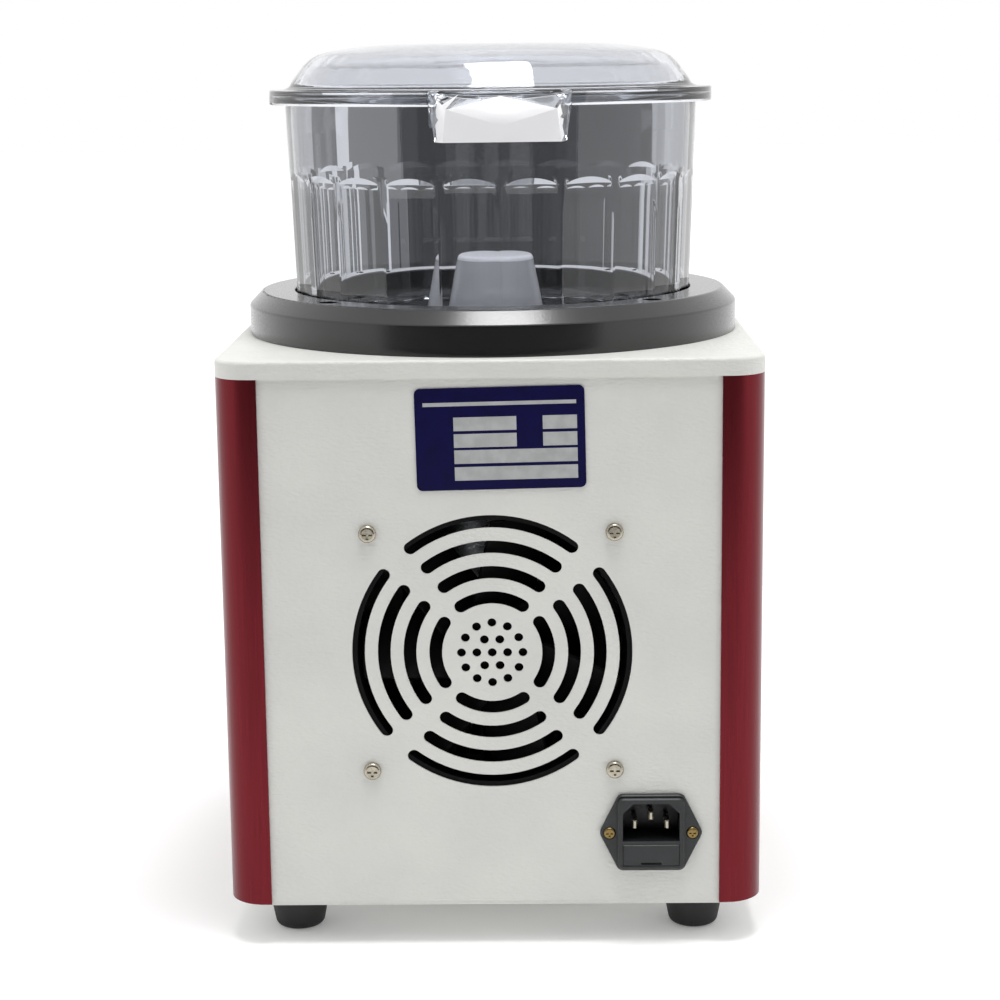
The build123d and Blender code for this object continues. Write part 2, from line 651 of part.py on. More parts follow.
def inlet_body():
    """Moulded inlet: six-sided flange, raised middle, plug cavity, fuse drawer recess, rear housing."""
    y_boss = Y_INLET_FACE + INLET_BOSS_T
    hexagon = Polygon(
        (-INLET_TIP, 0), (-INLET_FLAT, INLET_HALF_H), (INLET_FLAT, INLET_HALF_H), (INLET_TIP, 0),
        (INLET_FLAT, -INLET_HALF_H), (-INLET_FLAT, -INLET_HALF_H), align=None)
    hexagon = Pos(INLET_X, Z_INLET) * fillet(hexagon.vertices(), INLET_CORNER_R)
    body = chamfer(across(hexagon, Y_PANEL, Y_INLET_FACE).faces().sort_by(Axis.Y)[-1].edges(), 0.5)
    boss = inlet_block(INLET_BOSS_X, -INLET_BOSS_H, INLET_BOSS_H, Y_INLET_FACE - 0.5, y_boss)
    boss = fillet(boss.edges().filter_by(Axis.Y), INLET_BOSS_R)
    body += chamfer(boss.faces().sort_by(Axis.Y)[-1].edges(), 0.6)
    body += inlet_block(INLET_FLAT, -INLET_BODY_H, INLET_BODY_H, Y_PANEL - INLET_DEPTH, Y_PANEL + 0.5)
    half_w, half_h = CAVITY_W / 2, CAVITY_H / 2
    mouth = Polygon(
        (-half_w, -half_h), (half_w, -half_h), (half_w, half_h - CAVITY_CUT),
        (half_w - CAVITY_CUT, half_h), (CAVITY_CUT - half_w, half_h), (-half_w, half_h - CAVITY_CUT),
        align=None)
    body -= across(Pos(INLET_X, Z_INLET + CAVITY_UP) * mouth, y_boss - CAVITY_DEPTH, y_boss + 1)
    gap, mid = 0.15, -DRAWER_DOWN
    body -= inlet_block(DRAWER_W / 2 + gap, mid - DRAWER_H / 2 - gap, mid + DRAWER_H / 2 + gap,
                        Y_INLET_FACE, y_boss + 1)
    body -= inlet_block(CARRIER_W / 2 + gap, mid - CARRIER_H / 2 - gap, mid + CARRIER_H / 2 + gap,
                        Y_CARRIER - 0.4, y_boss)
    for x, z in inlet_pin_spots():
        body -= block(x - PIN_W / 2, x + PIN_W / 2, Y_PANEL - INLET_DEPTH - 1, y_boss - CAVITY_DEPTH + 1,
                      z - PIN_H / 2, z + PIN_H / 2)
    for side in (-1, 1):
        x = INLET_X + side * INLET_PITCH / 2
        body -= rod_y(INLET_SCREW_R + 0.1, Y_PANEL - 1, Y_INLET_FACE + 1, x, Z_INLET)
        body -= rod_y(INLET_HEAD_R + 0.2, Y_INLET_FACE - 0.9, Y_INLET_FACE + 1, x, Z_INLET)
    return body


def inlet_pin_spots():
    """Centres of the three contact pins: two live pins below, the earth pin above between them."""
    z = Z_INLET + CAVITY_UP
    half = PIN_SPACING / 2
    return [(INLET_X - half, z - PIN_OFFSET), (INLET_X, z + PIN_OFFSET), (INLET_X + half, z - PIN_OFFSET)]


def inlet_pins():
    """Three flat pins that run through the inlet and end as solder tags inside the case."""
    pins = []
    y_tip = Y_INLET_FACE + INLET_BOSS_T - PIN_SUNK
    for x, z in inlet_pin_spots():
        y_tag = Y_PANEL - INLET_DEPTH - PIN_TAG
        pin = block(x - PIN_W / 2, x + PIN_W / 2, y_tag, y_tip, z - PIN_H / 2, z + PIN_H / 2)
        pins.append(chamfer(pin.faces().sort_by(Axis.Y)[-1].edges(), 0.5))
    return group(pins)


def inlet_screws():
    """Two small brass-coloured screws through the inlet's flange."""
    small = Rot(-90, 0, 0) * screw_small()
    y = Y_INLET_FACE - 0.9
    return group([Pos(INLET_X + side * INLET_PITCH / 2, y, Z_INLET) * small for side in (-1, 1)])


def screw_small():
    """A small cross-recessed pan head screw, its head above z=0."""
    head = turned([(0, 0), (INLET_HEAD_R, 0), (INLET_HEAD_R, 1.5, 0.9), (0, 1.5)])
    arms = Box(3.0, 0.8, 1.6) + Box(0.8, 3.0, 1.6)
    return head + post(INLET_SCREW_R, -8.0, 0.0) - Pos(0, 0, 1.5) * arms


def fuse_drawer():
    """Pull-out fuse drawer: a front plate with a finger notch, and a carrier open at its top."""
    mid = -DRAWER_DOWN
    y_face = Y_INLET_FACE + INLET_BOSS_T + 0.3
    front = inlet_block(DRAWER_W / 2, mid - DRAWER_H / 2, mid + DRAWER_H / 2, Y_INLET_FACE + 0.1, y_face)
    front = chamfer(front.faces().sort_by(Axis.Y)[-1].edges(), 0.4)
    low = mid - DRAWER_H / 2 + NOTCH_UP
    front -= inlet_block(NOTCH_HALF_W, low, low + NOTCH_H, y_face - 1.0, y_face + 1)
    half_h = CARRIER_H / 2
    carrier = inlet_block(CARRIER_W / 2, mid - half_h, mid + half_h, Y_CARRIER, Y_INLET_FACE + 0.5)
    pocket_r = FUSE_R + 0.1
    carrier -= inlet_block(FUSE_L / 2 + FIT_GAP, mid - FUSE_R - FIT_GAP, mid + CARRIER_H,
                           Y_FUSE - pocket_r, Y_FUSE + pocket_r)
    return front + carrier


def fuse():
    """Glass fuse across the drawer, with a metal cap at each end."""
    z = Z_INLET - DRAWER_DOWN
    tube = rod_x(FUSE_R - 0.25, INLET_X - FUSE_L / 2 + 1, INLET_X + FUSE_L / 2 - 1, Y_FUSE, z)
    for side in (-1, 1):
        end = INLET_X + side * FUSE_L / 2
        tube += rod_x(FUSE_R, min(end, end - side * 5.5), max(end, end - side * 5.5), Y_FUSE, z)
    return tube


# ---- cooling fan ----
def fan_frame():
    """Square fan frame with a round bore, a hub plate on four struts and a shaft bush."""
    y1, y0 = Y_INSIDE, Y_INSIDE - FAN_T
    frame = across(Pos(0, Z_FAN) * RectangleRounded(FAN_SIZE, FAN_SIZE, 5.0), y0, y1)
    frame -= rod_y(FAN_BORE_R, y0 - 1, y1 + 1, 0, Z_FAN)
    for angle in (45, 135):
        strut = Rot(0, angle, 0) * Box(2 * FAN_BORE_R + 2, 3.0, 5.0)
        frame += Pos(0, y0 + 1.5, Z_FAN) * strut
    frame += rod_y(FAN_HUB_R + 1.5, y0, y0 + 3.0, 0, Z_FAN)
    frame += rod_y(FAN_BUSH_R, y0, y1 - 8.0, 0, Z_FAN)
    frame -= rod_y(FAN_SHAFT_R + RUNNING_GAP, y0 - 1, y1, 0, Z_FAN)
    for sx, sz in SQUARE:
        frame -= rod_y(SCREW_HOLE_R, y0 - 1, y1 + 1, sx * FAN_PITCH / 2, Z_FAN + sz * FAN_PITCH / 2)
    return frame


def fan_impeller():
    """Fan rotor: a cup over the coil, a thin shaft, and pitched blades."""
    y1 = Y_INSIDE - 2.5
    y0 = Y_INSIDE - FAN_T + 4.0
    cup = rod_y(FAN_HUB_R, y0, y1, 0, Z_FAN) - rod_y(FAN_HUB_R - 2.0, y0 - 1, y1 - 2.0, 0, Z_FAN)
    cup += rod_y(FAN_SHAFT_R, Y_INSIDE - FAN_T + 1.0, y1, 0, Z_FAN)
    reach = FAN_TIP_R - FAN_HUB_R + 5.0
    blade = Pos(FAN_HUB_R - 1.0 + reach / 2, 0, 0) * Rot(FAN_PITCH_ANGLE, 0, 0) * Box(reach, 1.8, 30.0)
    swept = rod_y(FAN_TIP_R, y0, y1, 0, Z_FAN) - rod_y(FAN_HUB_R - 1.0, y0 - 1, y1 + 1, 0, Z_FAN)
    blade = (Pos(0, (y0 + y1) / 2, Z_FAN) * blade) & swept
    for k in range(FAN_BLADES):
        turn = Rot(0, 360 * k / FAN_BLADES, 0)
        cup += Pos(0, 0, Z_FAN) * turn * Pos(0, 0, -Z_FAN) * blade
    return cup


def fan_coil():
    """Coil and core of the fan's own motor, on the frame's bush."""
    y0 = Y_INSIDE - FAN_T + 3.0
    core = rod_y(FAN_HUB_R - 4.0, y0, y0 + 11.0, 0, Z_FAN)
    return core - rod_y(FAN_BUSH_R, y0 - 1, y0 + 12.0, 0, Z_FAN)


def fan_screws():
    """Four pan head screws through the rear panel and the fan's corners."""
    out = Rot(-90, 0, 0) * screw(SCREW_R, HEAD_R, HEAD_H, SHEET_T + FAN_T + 5.0)
    half = FAN_PITCH / 2
    return group([Pos(sx * half, Y_PANEL, Z_FAN + sz * half) * out for sx, sz in SQUARE])


def fan_nuts():
    """Four hexagon nuts behind the fan."""
    y1 = Y_INSIDE - FAN_T
    nut = across(RegularPolygon(3.9, 6) - Circle(SCREW_R + 0.05), y1 - 3.0, y1)
    half = FAN_PITCH / 2
    return group([Pos(sx * half, 0, Z_FAN + sz * half) * nut for sx, sz in SQUARE])


# ---- motor ----
def motor_bracket():
    """Steel plate that carries the motor, hung below the top plate."""
    plate = slab(BRACKET_W, BRACKET_W, 12.0, Z_BRACKET, Z_BRACKET + BRACKET_T)
    plate -= post(HUB_R + 4.0, Z_BRACKET - 1, Z_BRACKET + BRACKET_T + 1)
    for x, y in ring_screw_spots() + motor_bolt_spots():
        plate -= post(SCREW_HOLE_R, Z_BRACKET - 1, Z_BRACKET + BRACKET_T + 1, x, y)
    return plate


def bracket_standoffs():
    """Four threaded pillars between the top plate and the motor's bracket."""
    z0 = Z_BRACKET + BRACKET_T
    pillar = post(STANDOFF_R, z0, Z_UNDER_DECK) - post(SCREW_R + 0.05, z0 - 1, Z_UNDER_DECK + 1)
    return group([Pos(x, y, 0) * pillar for x, y in ring_screw_spots()])


def motor_bolt_spots():
    """The four screws between the bracket and the motor's top cap."""
    reach = MOTOR_BOLT_R * sin(radians(45))
    return [(sx * reach, sy * reach) for sx, sy in SQUARE]


def motor_screws():
    """Eight equal screws: four up into the standoffs, four down into the motor's top cap."""
    down = screw(SCREW_R, HEAD_R, HEAD_H, BRACKET_T + 7.0)
    up = Rot(180, 0, 0) * down
    into_posts = [Pos(x, y, Z_BRACKET) * up for x, y in ring_screw_spots()]
    into_cap = [Pos(x, y, Z_BRACKET + BRACKET_T) * down for x, y in motor_bolt_spots()]
    return group(into_posts + into_cap)


def motor_can():
    """Steel tube of the motor."""
    return post(MOTOR_R, Z_CAN, Z_CAP) - post(MOTOR_R - MOTOR_WALL, Z_CAN - 1, Z_CAP + 1)


def end_cap(flip):
    """A cast end cap of the motor with a bearing pocket open towards the inside."""
    cap = post(MOTOR_R, 0.0, MOTOR_CAP_H) - post(BEARING_R, -1.0, BEARING_T)
    cap -= post(SHAFT_R + 1.0, -1.0, MOTOR_CAP_H + 1)
    spigot = post(MOTOR_R - MOTOR_WALL, -4.0, 0.5) - post(MOTOR_R - MOTOR_WALL - 4.0, -5.0, 0.5)
    cap += spigot
    for x, y in motor_bolt_spots():
        cap -= post(SCREW_R + 0.05, MOTOR_CAP_H - 9.0, MOTOR_CAP_H + 1, x, y)
    return Pos(0, 0, Z_CAN) * Rot(180, 0, 0) * cap if flip else Pos(0, 0, Z_CAP) * cap


def motor_bearings():
    """Two ball bearings, drawn as plain rings, that the shaft runs in."""
    ring = post(BEARING_R, 0.0, BEARING_T) - post(SHAFT_R + RUNNING_GAP, -1.0, BEARING_T + 1)
    return group([Pos(0, 0, Z_CAP) * ring, Pos(0, 0, Z_CAN - BEARING_T) * ring])


def motor_stator():
    """Laminated core with round winding slots."""
    z0, z1 = Z_MID_MOTOR - STATOR_H / 2, Z_MID_MOTOR + STATOR_H / 2
    core = post(MOTOR_R - MOTOR_WALL, z0, z1) - post(STATOR_BORE_R, z0 - 1, z1 + 1)
    for spot in PolarLocations((STATOR_BORE_R + MOTOR_R - MOTOR_WALL) / 2, 12):
        core -= post(4.0, z0 - 1, z1 + 1, spot.position.X, spot.position.Y)
    return core


def motor_windings():
    """Copper windings: bars through the slots and a ring of end turns at each end."""
    z0, z1 = Z_MID_MOTOR - STATOR_H / 2, Z_MID_MOTOR + STATOR_H / 2
    middle = (STATOR_BORE_R + MOTOR_R - MOTOR_WALL) / 2
    coil = Sketch() + Circle(middle + 4.5) - Circle(middle - 4.5)
    copper = Pos(0, 0, z1) * extrude(coil, amount=10.0) + Pos(0, 0, z0 - 10.0) * extrude(coil, amount=10.0)
    for spot in PolarLocations(middle, 12):
        copper += post(3.9, z0 - 1, z1 + 1, spot.position.X, spot.position.Y)
    return copper


def motor_shaft():
    """Steel shaft from the lower bearing up into the magnet disc."""
    return post(SHAFT_R, Z_CAN - MOTOR_CAP_H + 2.0, Z_DISC + DISC_T / 2)


def motor_rotor():
    """Rotor core on the shaft."""
    z0, z1 = Z_MID_MOTOR - STATOR_H / 2 - 1.0, Z_MID_MOTOR + STATOR_H / 2 + 1.0
    return post(STATOR_BORE_R - AIR_GAP, z0, z1) - post(SHAFT_R, z0 - 1, z1 + 1)


def disc_hub():
    """Flanged hub that joins the magnet disc to the shaft, with a side hole for its set screw."""
    z1 = Z_DISC
    hub = turned([
        (SHAFT_R, z1 - HUB_FLANGE_T - HUB_H), (HUB_R, z1 - HUB_FLANGE_T - HUB_H, 1.0),
        (HUB_R, z1 - HUB_FLANGE_T), (HUB_FLANGE_R, z1 - HUB_FLANGE_T), (HUB_FLANGE_R, z1), (SHAFT_R, z1),
    ])
    for x, y in disc_screw_spots():
        hub -= post(SCREW_R, z1 - HUB_FLANGE_T - 1, z1 + 1, x, y)
    return hub - rod_x(SCREW_R, 0, HUB_R + 1, 0, z1 - HUB_FLANGE_T - HUB_H / 2)


def disc_screw_spots():
    """The four screws between the disc and its hub."""
    reach = (HUB_R + HUB_FLANGE_R) / 2
    return [(reach, 0), (-reach, 0), (0, reach), (0, -reach)]


def disc_screws():
    """Four countersunk screws down into the hub's flange."""
    z, end = Z_DISC_TOP - SUNK_DEPTH, Z_DISC - HUB_FLANGE_T
    one = turned([(0, z), (SUNK_HEAD_R, z), (SCREW_R, z - SUNK_HEAD_H), (SCREW_R, end), (0, end)])
    return group([Pos(x, y, 0) * one for x, y in disc_screw_spots()])


def magnet_spots():
    """Centres of the magnets."""
    return [(spot.position.X, spot.position.Y) for spot in PolarLocations(MAGNET_PITCH_R, MAGNETS)]


def magnet_disc():
    """Aluminium disc with a blind pocket for each magnet and seats for its screws."""
    disc = post(DISC_R, Z_DISC, Z_DISC_TOP) - post(SHAFT_R, Z_DISC - 1, Z_DISC + DISC_T / 2)
    for x, y in magnet_spots():
        disc -= post(MAGNET_R, Z_DISC_TOP - MAGNET_T, Z_DISC_TOP + 1, x, y)
    cone_end = Z_DISC_TOP - SUNK_DEPTH - SUNK_HEAD_H
    for x, y in disc_screw_spots():
        disc -= post(SCREW_R, Z_DISC - 1, Z_DISC_TOP + 1, x, y)
        disc -= Pos(x, y, 0) * turned([
            (0, cone_end), (SCREW_R, cone_end), (SUNK_HEAD_R, Z_DISC_TOP - SUNK_DEPTH),
            (SUNK_HEAD_R, Z_DISC_TOP + 1), (0, Z_DISC_TOP + 1)])
    return disc


def magnets():
    """Round magnets flush with the disc's top face."""
    return group([post(MAGNET_R, Z_DISC_TOP - MAGNET_T, Z_DISC_TOP, x, y) for x, y in magnet_spots()])


# ---- electronics ----
def board_screw_spots():
    """The control board's four corners."""
    return [(sx * BOARD_HALF_X, BOARD_Y + sy * BOARD_HALF_Y) for sx, sy in SQUARE]


def control_board():
    """Speed and timing board above the base."""
    z = Z_CASE + BOARD_RAISE
    half_w, half_d = BOARD_W / 2, BOARD_D / 2
    board = block(-half_w, half_w, BOARD_Y - half_d, BOARD_Y + half_d, z, z + BOARD_T)
    for x, y in board_screw_spots():
        board -= post(1.6, z - 1, z + BOARD_T + 1, x, y)
    return board


def board_standoffs():
    """Four pillars under the board."""
    pillar = post(3.2, Z_CASE, Z_CASE + BOARD_RAISE) - post(1.3, Z_CASE - 1, Z_CASE + BOARD_RAISE + 1)
    return group([Pos(x, y, 0) * pillar for x, y in board_screw_spots()])


def board_components():
    """Relays, a finned heat sink, capacitors and a terminal strip on the board."""
    z = Z_CASE + BOARD_RAISE + BOARD_T
    rear, front = BOARD_Y + BOARD_D / 6, BOARD_Y - BOARD_D / 2 + BOARD_MARGIN
    left = -BOARD_W / 2 + BOARD_MARGIN + RELAY_GAP
    parts = []
    for k in range(3):
        x = left + k * (RELAY_W + RELAY_GAP)
        parts.append(block(x, x + RELAY_W, front, front + RELAY_D, z, z + RELAY_W))
    for k in range(2):
        x = left + CAPACITOR_R + k * (2 * CAPACITOR_R + 2 * RELAY_GAP)
        parts.append(post(CAPACITOR_R, z, z + CAPACITOR_H, x, rear + SINK_FIN_T))
    sink = block(SINK_X, SINK_X + SINK_W, rear - SINK_D / 2, rear + SINK_D / 2, z, z + SINK_BASE)
    for k in range(SINK_FINS):
        x = SINK_X + k * (SINK_W - SINK_FIN_T) / (SINK_FINS - 1)
        sink += block(x, x + SINK_FIN_T, rear - SINK_D / 2, rear + SINK_D / 2, z, z + SINK_H)
    strip = block(STRIP_X, STRIP_X + STRIP_W, front, front + STRIP_D, z, z + STRIP_D)
    return group(parts + [sink, strip])


def run_capacitor():
    """Motor capacitor lying on the base with its two tags."""
    z = Z_CASE + RUN_CAP_R + RUN_CAP_RAISE
    can = rod_y(RUN_CAP_R, RUN_CAP_Y0, RUN_CAP_Y0 + RUN_CAP_L, RUN_CAP_X, z)
    y_end = RUN_CAP_Y0 + RUN_CAP_L
    for side in (-1, 1):
        tag = z + side * RUN_CAP_R / 3
        can += block(RUN_CAP_X - 1, RUN_CAP_X + 1, y_end - 0.5, y_end + PIN_TAG, tag - 2, tag + 2)
    half = RUN_CAP_FOOT / 2
    y_mid = RUN_CAP_Y0 + RUN_CAP_L / 2
    return can + block(RUN_CAP_X - half, RUN_CAP_X + half, y_mid - half, y_mid + half, Z_CASE, z)


# ---- front controls, at -Y ----
def front_overlay():
    """Printed label plate round the controls."""
    sheet = RectangleRounded(OVERLAY_W, OVERLAY_H, 5.0)
    for side in (-1, 1):
        sheet -= Pos(side * KNOB_X, KNOB_UP - OVERLAY_UP) * Circle(BUSH_R + 0.15)
    for x, size in ((-KNOB_X, POWER_ROCKER), (KNOB_X, DIRECTION_ROCKER)):
        opening = Rectangle(switch_width(size) + FIT_GAP, switch_height(size) + FIT_GAP)
        sheet -= Pos(x, SWITCH_UP - OVERLAY_UP) * opening
    sheet -= Pos(0, SWITCH_UP - OVERLAY_UP) * Circle(LAMP_R + 0.15)
    return across(Pos(0, Z_CASE + OVERLAY_UP) * sheet, -Y_PANEL - OVERLAY_T, -Y_PANEL)


def rotary_body(x, w, h, depth):
    """Body of a rotary control behind the panel with its threaded bush through it."""
    z = Z_CASE + KNOB_UP
    y_back = -Y_INSIDE + 0.0
    body = block(x - w / 2, x + w / 2, y_back, y_back + depth, z - h / 2, z + h / 2)
    body += rod_y(BUSH_R, Y_FACE - NUT_T - 0.8, y_back + 1, x, z)
    return body - rod_y(SPINDLE_R + RUNNING_GAP, Y_FACE - 10, y_back + depth * 0.6, x, z)


def spindle(x, depth):
    """Round spindle from inside a rotary control out to its knob."""
    z = Z_CASE + KNOB_UP
    return rod_y(SPINDLE_R, Y_KNOB - KNOB_H + 4.5, -Y_INSIDE + depth * 0.5, x, z)


def control_nuts():
    """A thin hexagon nut on each rotary control's bush."""
    nut = across(RegularPolygon(NUT_R, 6) - Circle(BUSH_R + 0.05), Y_FACE - NUT_T, Y_FACE)
    return group([Pos(side * KNOB_X, 0, Z_CASE + KNOB_UP) * nut for side in (-1, 1)])


def knob(x):
    """Skirted knob with a fluted grip, hollow below over the nut."""
    body = turned([
        (NUT_R + 1.2, 0), (KNOB_R, 0, 0.6), (KNOB_R, 3.0, 0.8), (KNOB_GRIP_R + 0.4, 4.8),
        (KNOB_GRIP_R - 0.6, KNOB_H, 1.2), (0, KNOB_H), (0, KNOB_H - 4.5), (SPINDLE_R, KNOB_H - 4.5),
        (SPINDLE_R, NUT_T + 2.0), (NUT_R + 1.2, NUT_T + 2.0),
    ])
    for spot in PolarLocations(KNOB_GRIP_R + 0.5, KNOB_FLUTES):
        body -= post(1.2, 5.2, KNOB_H + 1, spot.position.X, spot.position.Y)
    return Pos(x, Y_KNOB, Z_CASE + KNOB_UP) * Rot(90, 0, 0) * body


def rocker_reach(half_h):
    """How far a rocker's tip gets from its pivot's height at full tilt."""
    corner = hypot(ROCKER_TIP, half_h)
    return corner * cos(atan2(ROCKER_TIP, half_h) - radians(ROCKER_TILT))


def switch_height(size):
    """Height of a rocker switch's housing."""
    return 2 * (rocker_reach(size[1]) + ROCKER_GAP + SWITCH_WALL)


def switch_width(size):
    """Width of a rocker switch's housing."""
    return size[0] + 2 * (ROCKER_GAP + SWITCH_WALL)


def switch_body(x, size):
    """Rocker switch housing with its bezel, rocker well, pivot holes and terminals."""
    z = Z_CASE + SWITCH_UP
    w, h = switch_width(size), switch_height(size)
    bezel = RectangleRounded(w + 2 * BEZEL_RIM, h + 2 * BEZEL_RIM, 1.6)
    bezel = across(Pos(x, z) * bezel, Y_FACE - BEZEL_T, Y_FACE)
    body = chamfer(bezel.faces().sort_by(Axis.Y)[0].edges(), 0.6)
    body += block(x - w / 2, x + w / 2, Y_FACE - 0.5, Y_FACE + 18.0, z - h / 2, z + h / 2)
    inner_w, inner_h = w / 2 - SWITCH_WALL, h / 2 - SWITCH_WALL
    body -= block(x - inner_w, x + inner_w, Y_FACE - 5, Y_PIVOT + 6.5, z - inner_h, z + inner_h)
    body -= rod_x(PIVOT_R + RUNNING_GAP, x - inner_w - 1.0, x + inner_w + 1.0, Y_PIVOT, z)
    for dz in (-5.0, 0.0, 5.0):
        body += block(x - 2.4, x + 2.4, Y_FACE + 17.5, Y_FACE + 26.0, z + dz - 0.4, z + dz + 0.4)
    return body


def rocker(x, size):
    """Rocker with two flat faces that meet in a shallow valley, resting on its lower half."""
    width, half_h = size
    z = Z_CASE + SWITCH_UP
    y = Y_PIVOT
    side = Plane.YZ * Polygon(
        (-ROCKER_TIP, -half_h), (-ROCKER_TIP + half_h * 0.14, 0), (-ROCKER_TIP, half_h),
        (2.5, half_h - 2.0), (2.5, -half_h + 2.0), align=None)
    body = extrude(side, amount=width / 2, both=True)
    body += rod_x(PIVOT_R, -width / 2 - 0.9, width / 2 + 0.9, 0, 0)
    return Pos(x, y, z) * Rot(-ROCKER_TILT, 0, 0) * body


def indicator_lamp():
    """Small round lamp with a domed lens and a plain body through the panel."""
    z = Z_CASE + SWITCH_UP
    lamp = turned([
        (0, -16.0), (LAMP_R, -16.0), (LAMP_R, 0.0), (LAMP_R + 1.6, 0.0), (LAMP_R + 1.6, 1.2, 0.5),
        (LAMP_R, 1.2), (LAMP_R * 0.8, 2.6), (0, 3.4),
    ])
    return Pos(0, Y_FACE, z) * Rot(90, 0, 0) * lamp


PARTS = {
    "foot_rear_left": foot(-FOOT_X, FOOT_Y),
    "foot_rear_right": foot(FOOT_X, FOOT_Y),
    "foot_front_left": foot(-FOOT_X, -FOOT_Y),
    "foot_front_right": foot(FOOT_X, -FOOT_Y),
    "foot_screws": foot_screws(),
    "base_plate": base_plate(),
    "base_screws": base_screws(),
    "side_shell_left": side_shell(-1),
    "side_shell_right": side_shell(1),
    "rear_panel": rear_panel(),
    "front_panel": front_panel(),
    "top_plate": top_plate(),
    "top_screws": top_screws(),
    "bowl_ring": bowl_ring(),
    "ring_screws": ring_screws(),
    "bowl": bowl(),
    "lid": lid(),
    "nameplate": nameplate(),
    "inlet_body": inlet_body(),
    "inlet_pins": inlet_pins(),
    "inlet_screws": inlet_screws(),
    "fuse_drawer": fuse_drawer(),
    "fuse": fuse(),
    "fan_frame": fan_frame(),
    "fan_impeller": fan_impeller(),
    "fan_coil": fan_coil(),
    "fan_screws": fan_screws(),
    "fan_nuts": fan_nuts(),
    "motor_bracket": motor_bracket(),
    "bracket_standoffs": bracket_standoffs(),
    "motor_screws": motor_screws(),
    "motor_can": motor_can(),
    "motor_top_cap": end_cap(False),
    "motor_bottom_cap": end_cap(True),
    "motor_bearings": motor_bearings(),
    "motor_stator": motor_stator(),
    "motor_windings": motor_windings(),
    "motor_shaft": motor_shaft(),
    "motor_rotor": motor_rotor(),
    "disc_hub": disc_hub(),
    "magnet_disc": magnet_disc(),
    "magnets": magnets(),
    "disc_screws": disc_screws(),
    "control_board": control_board(),
    "board_standoffs": board_standoffs(),
    "board_components": board_components(),
    "run_capacitor": run_capacitor(),
    "front_overlay": front_overlay(),
    "timer_body": rotary_body(-KNOB_X, 42.0, 42.0, TIMER_DEPTH),
    "timer_spindle": spindle(-KNOB_X, TIMER_DEPTH),
    "timer_knob": knob(-KNOB_X),
    "speed_control": rotary_body(KNOB_X, 24.0, 26.0, SPEED_DEPTH),
    "speed_spindle": spindle(KNOB_X, SPEED_DEPTH),
    "speed_knob": knob(KNOB_X),
    "control_nuts": control_nuts(),
    "power_switch_body": switch_body(-KNOB_X, POWER_ROCKER),
    "power_rocker": rocker(-KNOB_X, POWER_ROCKER),
    "direction_switch_body": switch_body(KNOB_X, DIRECTION_ROCKER),
    "direction_rocker": rocker(KNOB_X, DIRECTION_ROCKER),
    "indicator_lamp": indicator_lamp(),
}

os.makedirs("parts", exist_ok=True)
for name, shape in PARTS.items():
    export_step(shape, "parts/" + name + ".step")
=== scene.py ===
import math

import bmesh
import bpy
from bpy.props import FloatProperty, IntProperty, PointerProperty, StringProperty
from mathutils import Matrix, Vector


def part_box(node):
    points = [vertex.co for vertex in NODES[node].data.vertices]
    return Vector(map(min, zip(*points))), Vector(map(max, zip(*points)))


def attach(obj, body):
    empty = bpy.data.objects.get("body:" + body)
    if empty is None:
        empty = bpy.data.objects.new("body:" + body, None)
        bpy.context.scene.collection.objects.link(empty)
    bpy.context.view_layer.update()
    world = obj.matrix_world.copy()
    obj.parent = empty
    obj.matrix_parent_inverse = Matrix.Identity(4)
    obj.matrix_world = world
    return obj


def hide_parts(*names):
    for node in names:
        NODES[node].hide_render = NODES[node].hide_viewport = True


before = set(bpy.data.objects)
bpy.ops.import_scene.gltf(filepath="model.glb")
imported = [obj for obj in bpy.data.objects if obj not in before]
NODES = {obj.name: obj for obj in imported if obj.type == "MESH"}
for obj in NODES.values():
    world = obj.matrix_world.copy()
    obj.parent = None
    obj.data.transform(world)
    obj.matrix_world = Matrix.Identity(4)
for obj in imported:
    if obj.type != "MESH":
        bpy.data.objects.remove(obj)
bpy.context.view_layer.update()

bl_info = {
    "name": "Magnetic tumbler looks",
    "version": (1, 0, 0),
    "blender": (4, 5, 0),
    "location": "View3D > Sidebar > Tumbler",
    "description": "Finishes, clear parts, printed marks, light and camera of a magnetic tumbler",
    "category": "Object",
}

MM = 0.001
WELD = 0.00001             # points closer than this are one point
HAIR = 1e-6                # two angles closer than this are the same


# ---- sizes and colours a user would change ----
def length(name, description, millimetres):
    """A size in metres, given in millimetres."""
    return FloatProperty(
        name=name, description=description, default=millimetres * MM, unit="LENGTH", precision=5)


def shade(name, description, code):
    """A colour written as an sRGB hex code."""
    return StringProperty(name=name, description=description, default=code)


class TumblerFinishes(bpy.types.PropertyGroup):
    """Colours of the painted, anodised and moulded pieces."""
    enamel: shade("Enamel", "Powder coat of the panels and top", "#DFDFDA")
    shell: shade("Shell red", "Anodised side shells", "#6A1720")
    black: shade("Moulded black", "Ring, knobs, switches", "#050607")
    rubber: shade("Rubber", "Feet", "#161616")
    plate: shade("Plate blue", "Ground of the rating plate", "#090638")
    field: shade("Plate silver", "Bare fields of the rating plate", "#B4B6B6")
    overlay: shade("Overlay", "Ground of the label round the controls", "#090638")


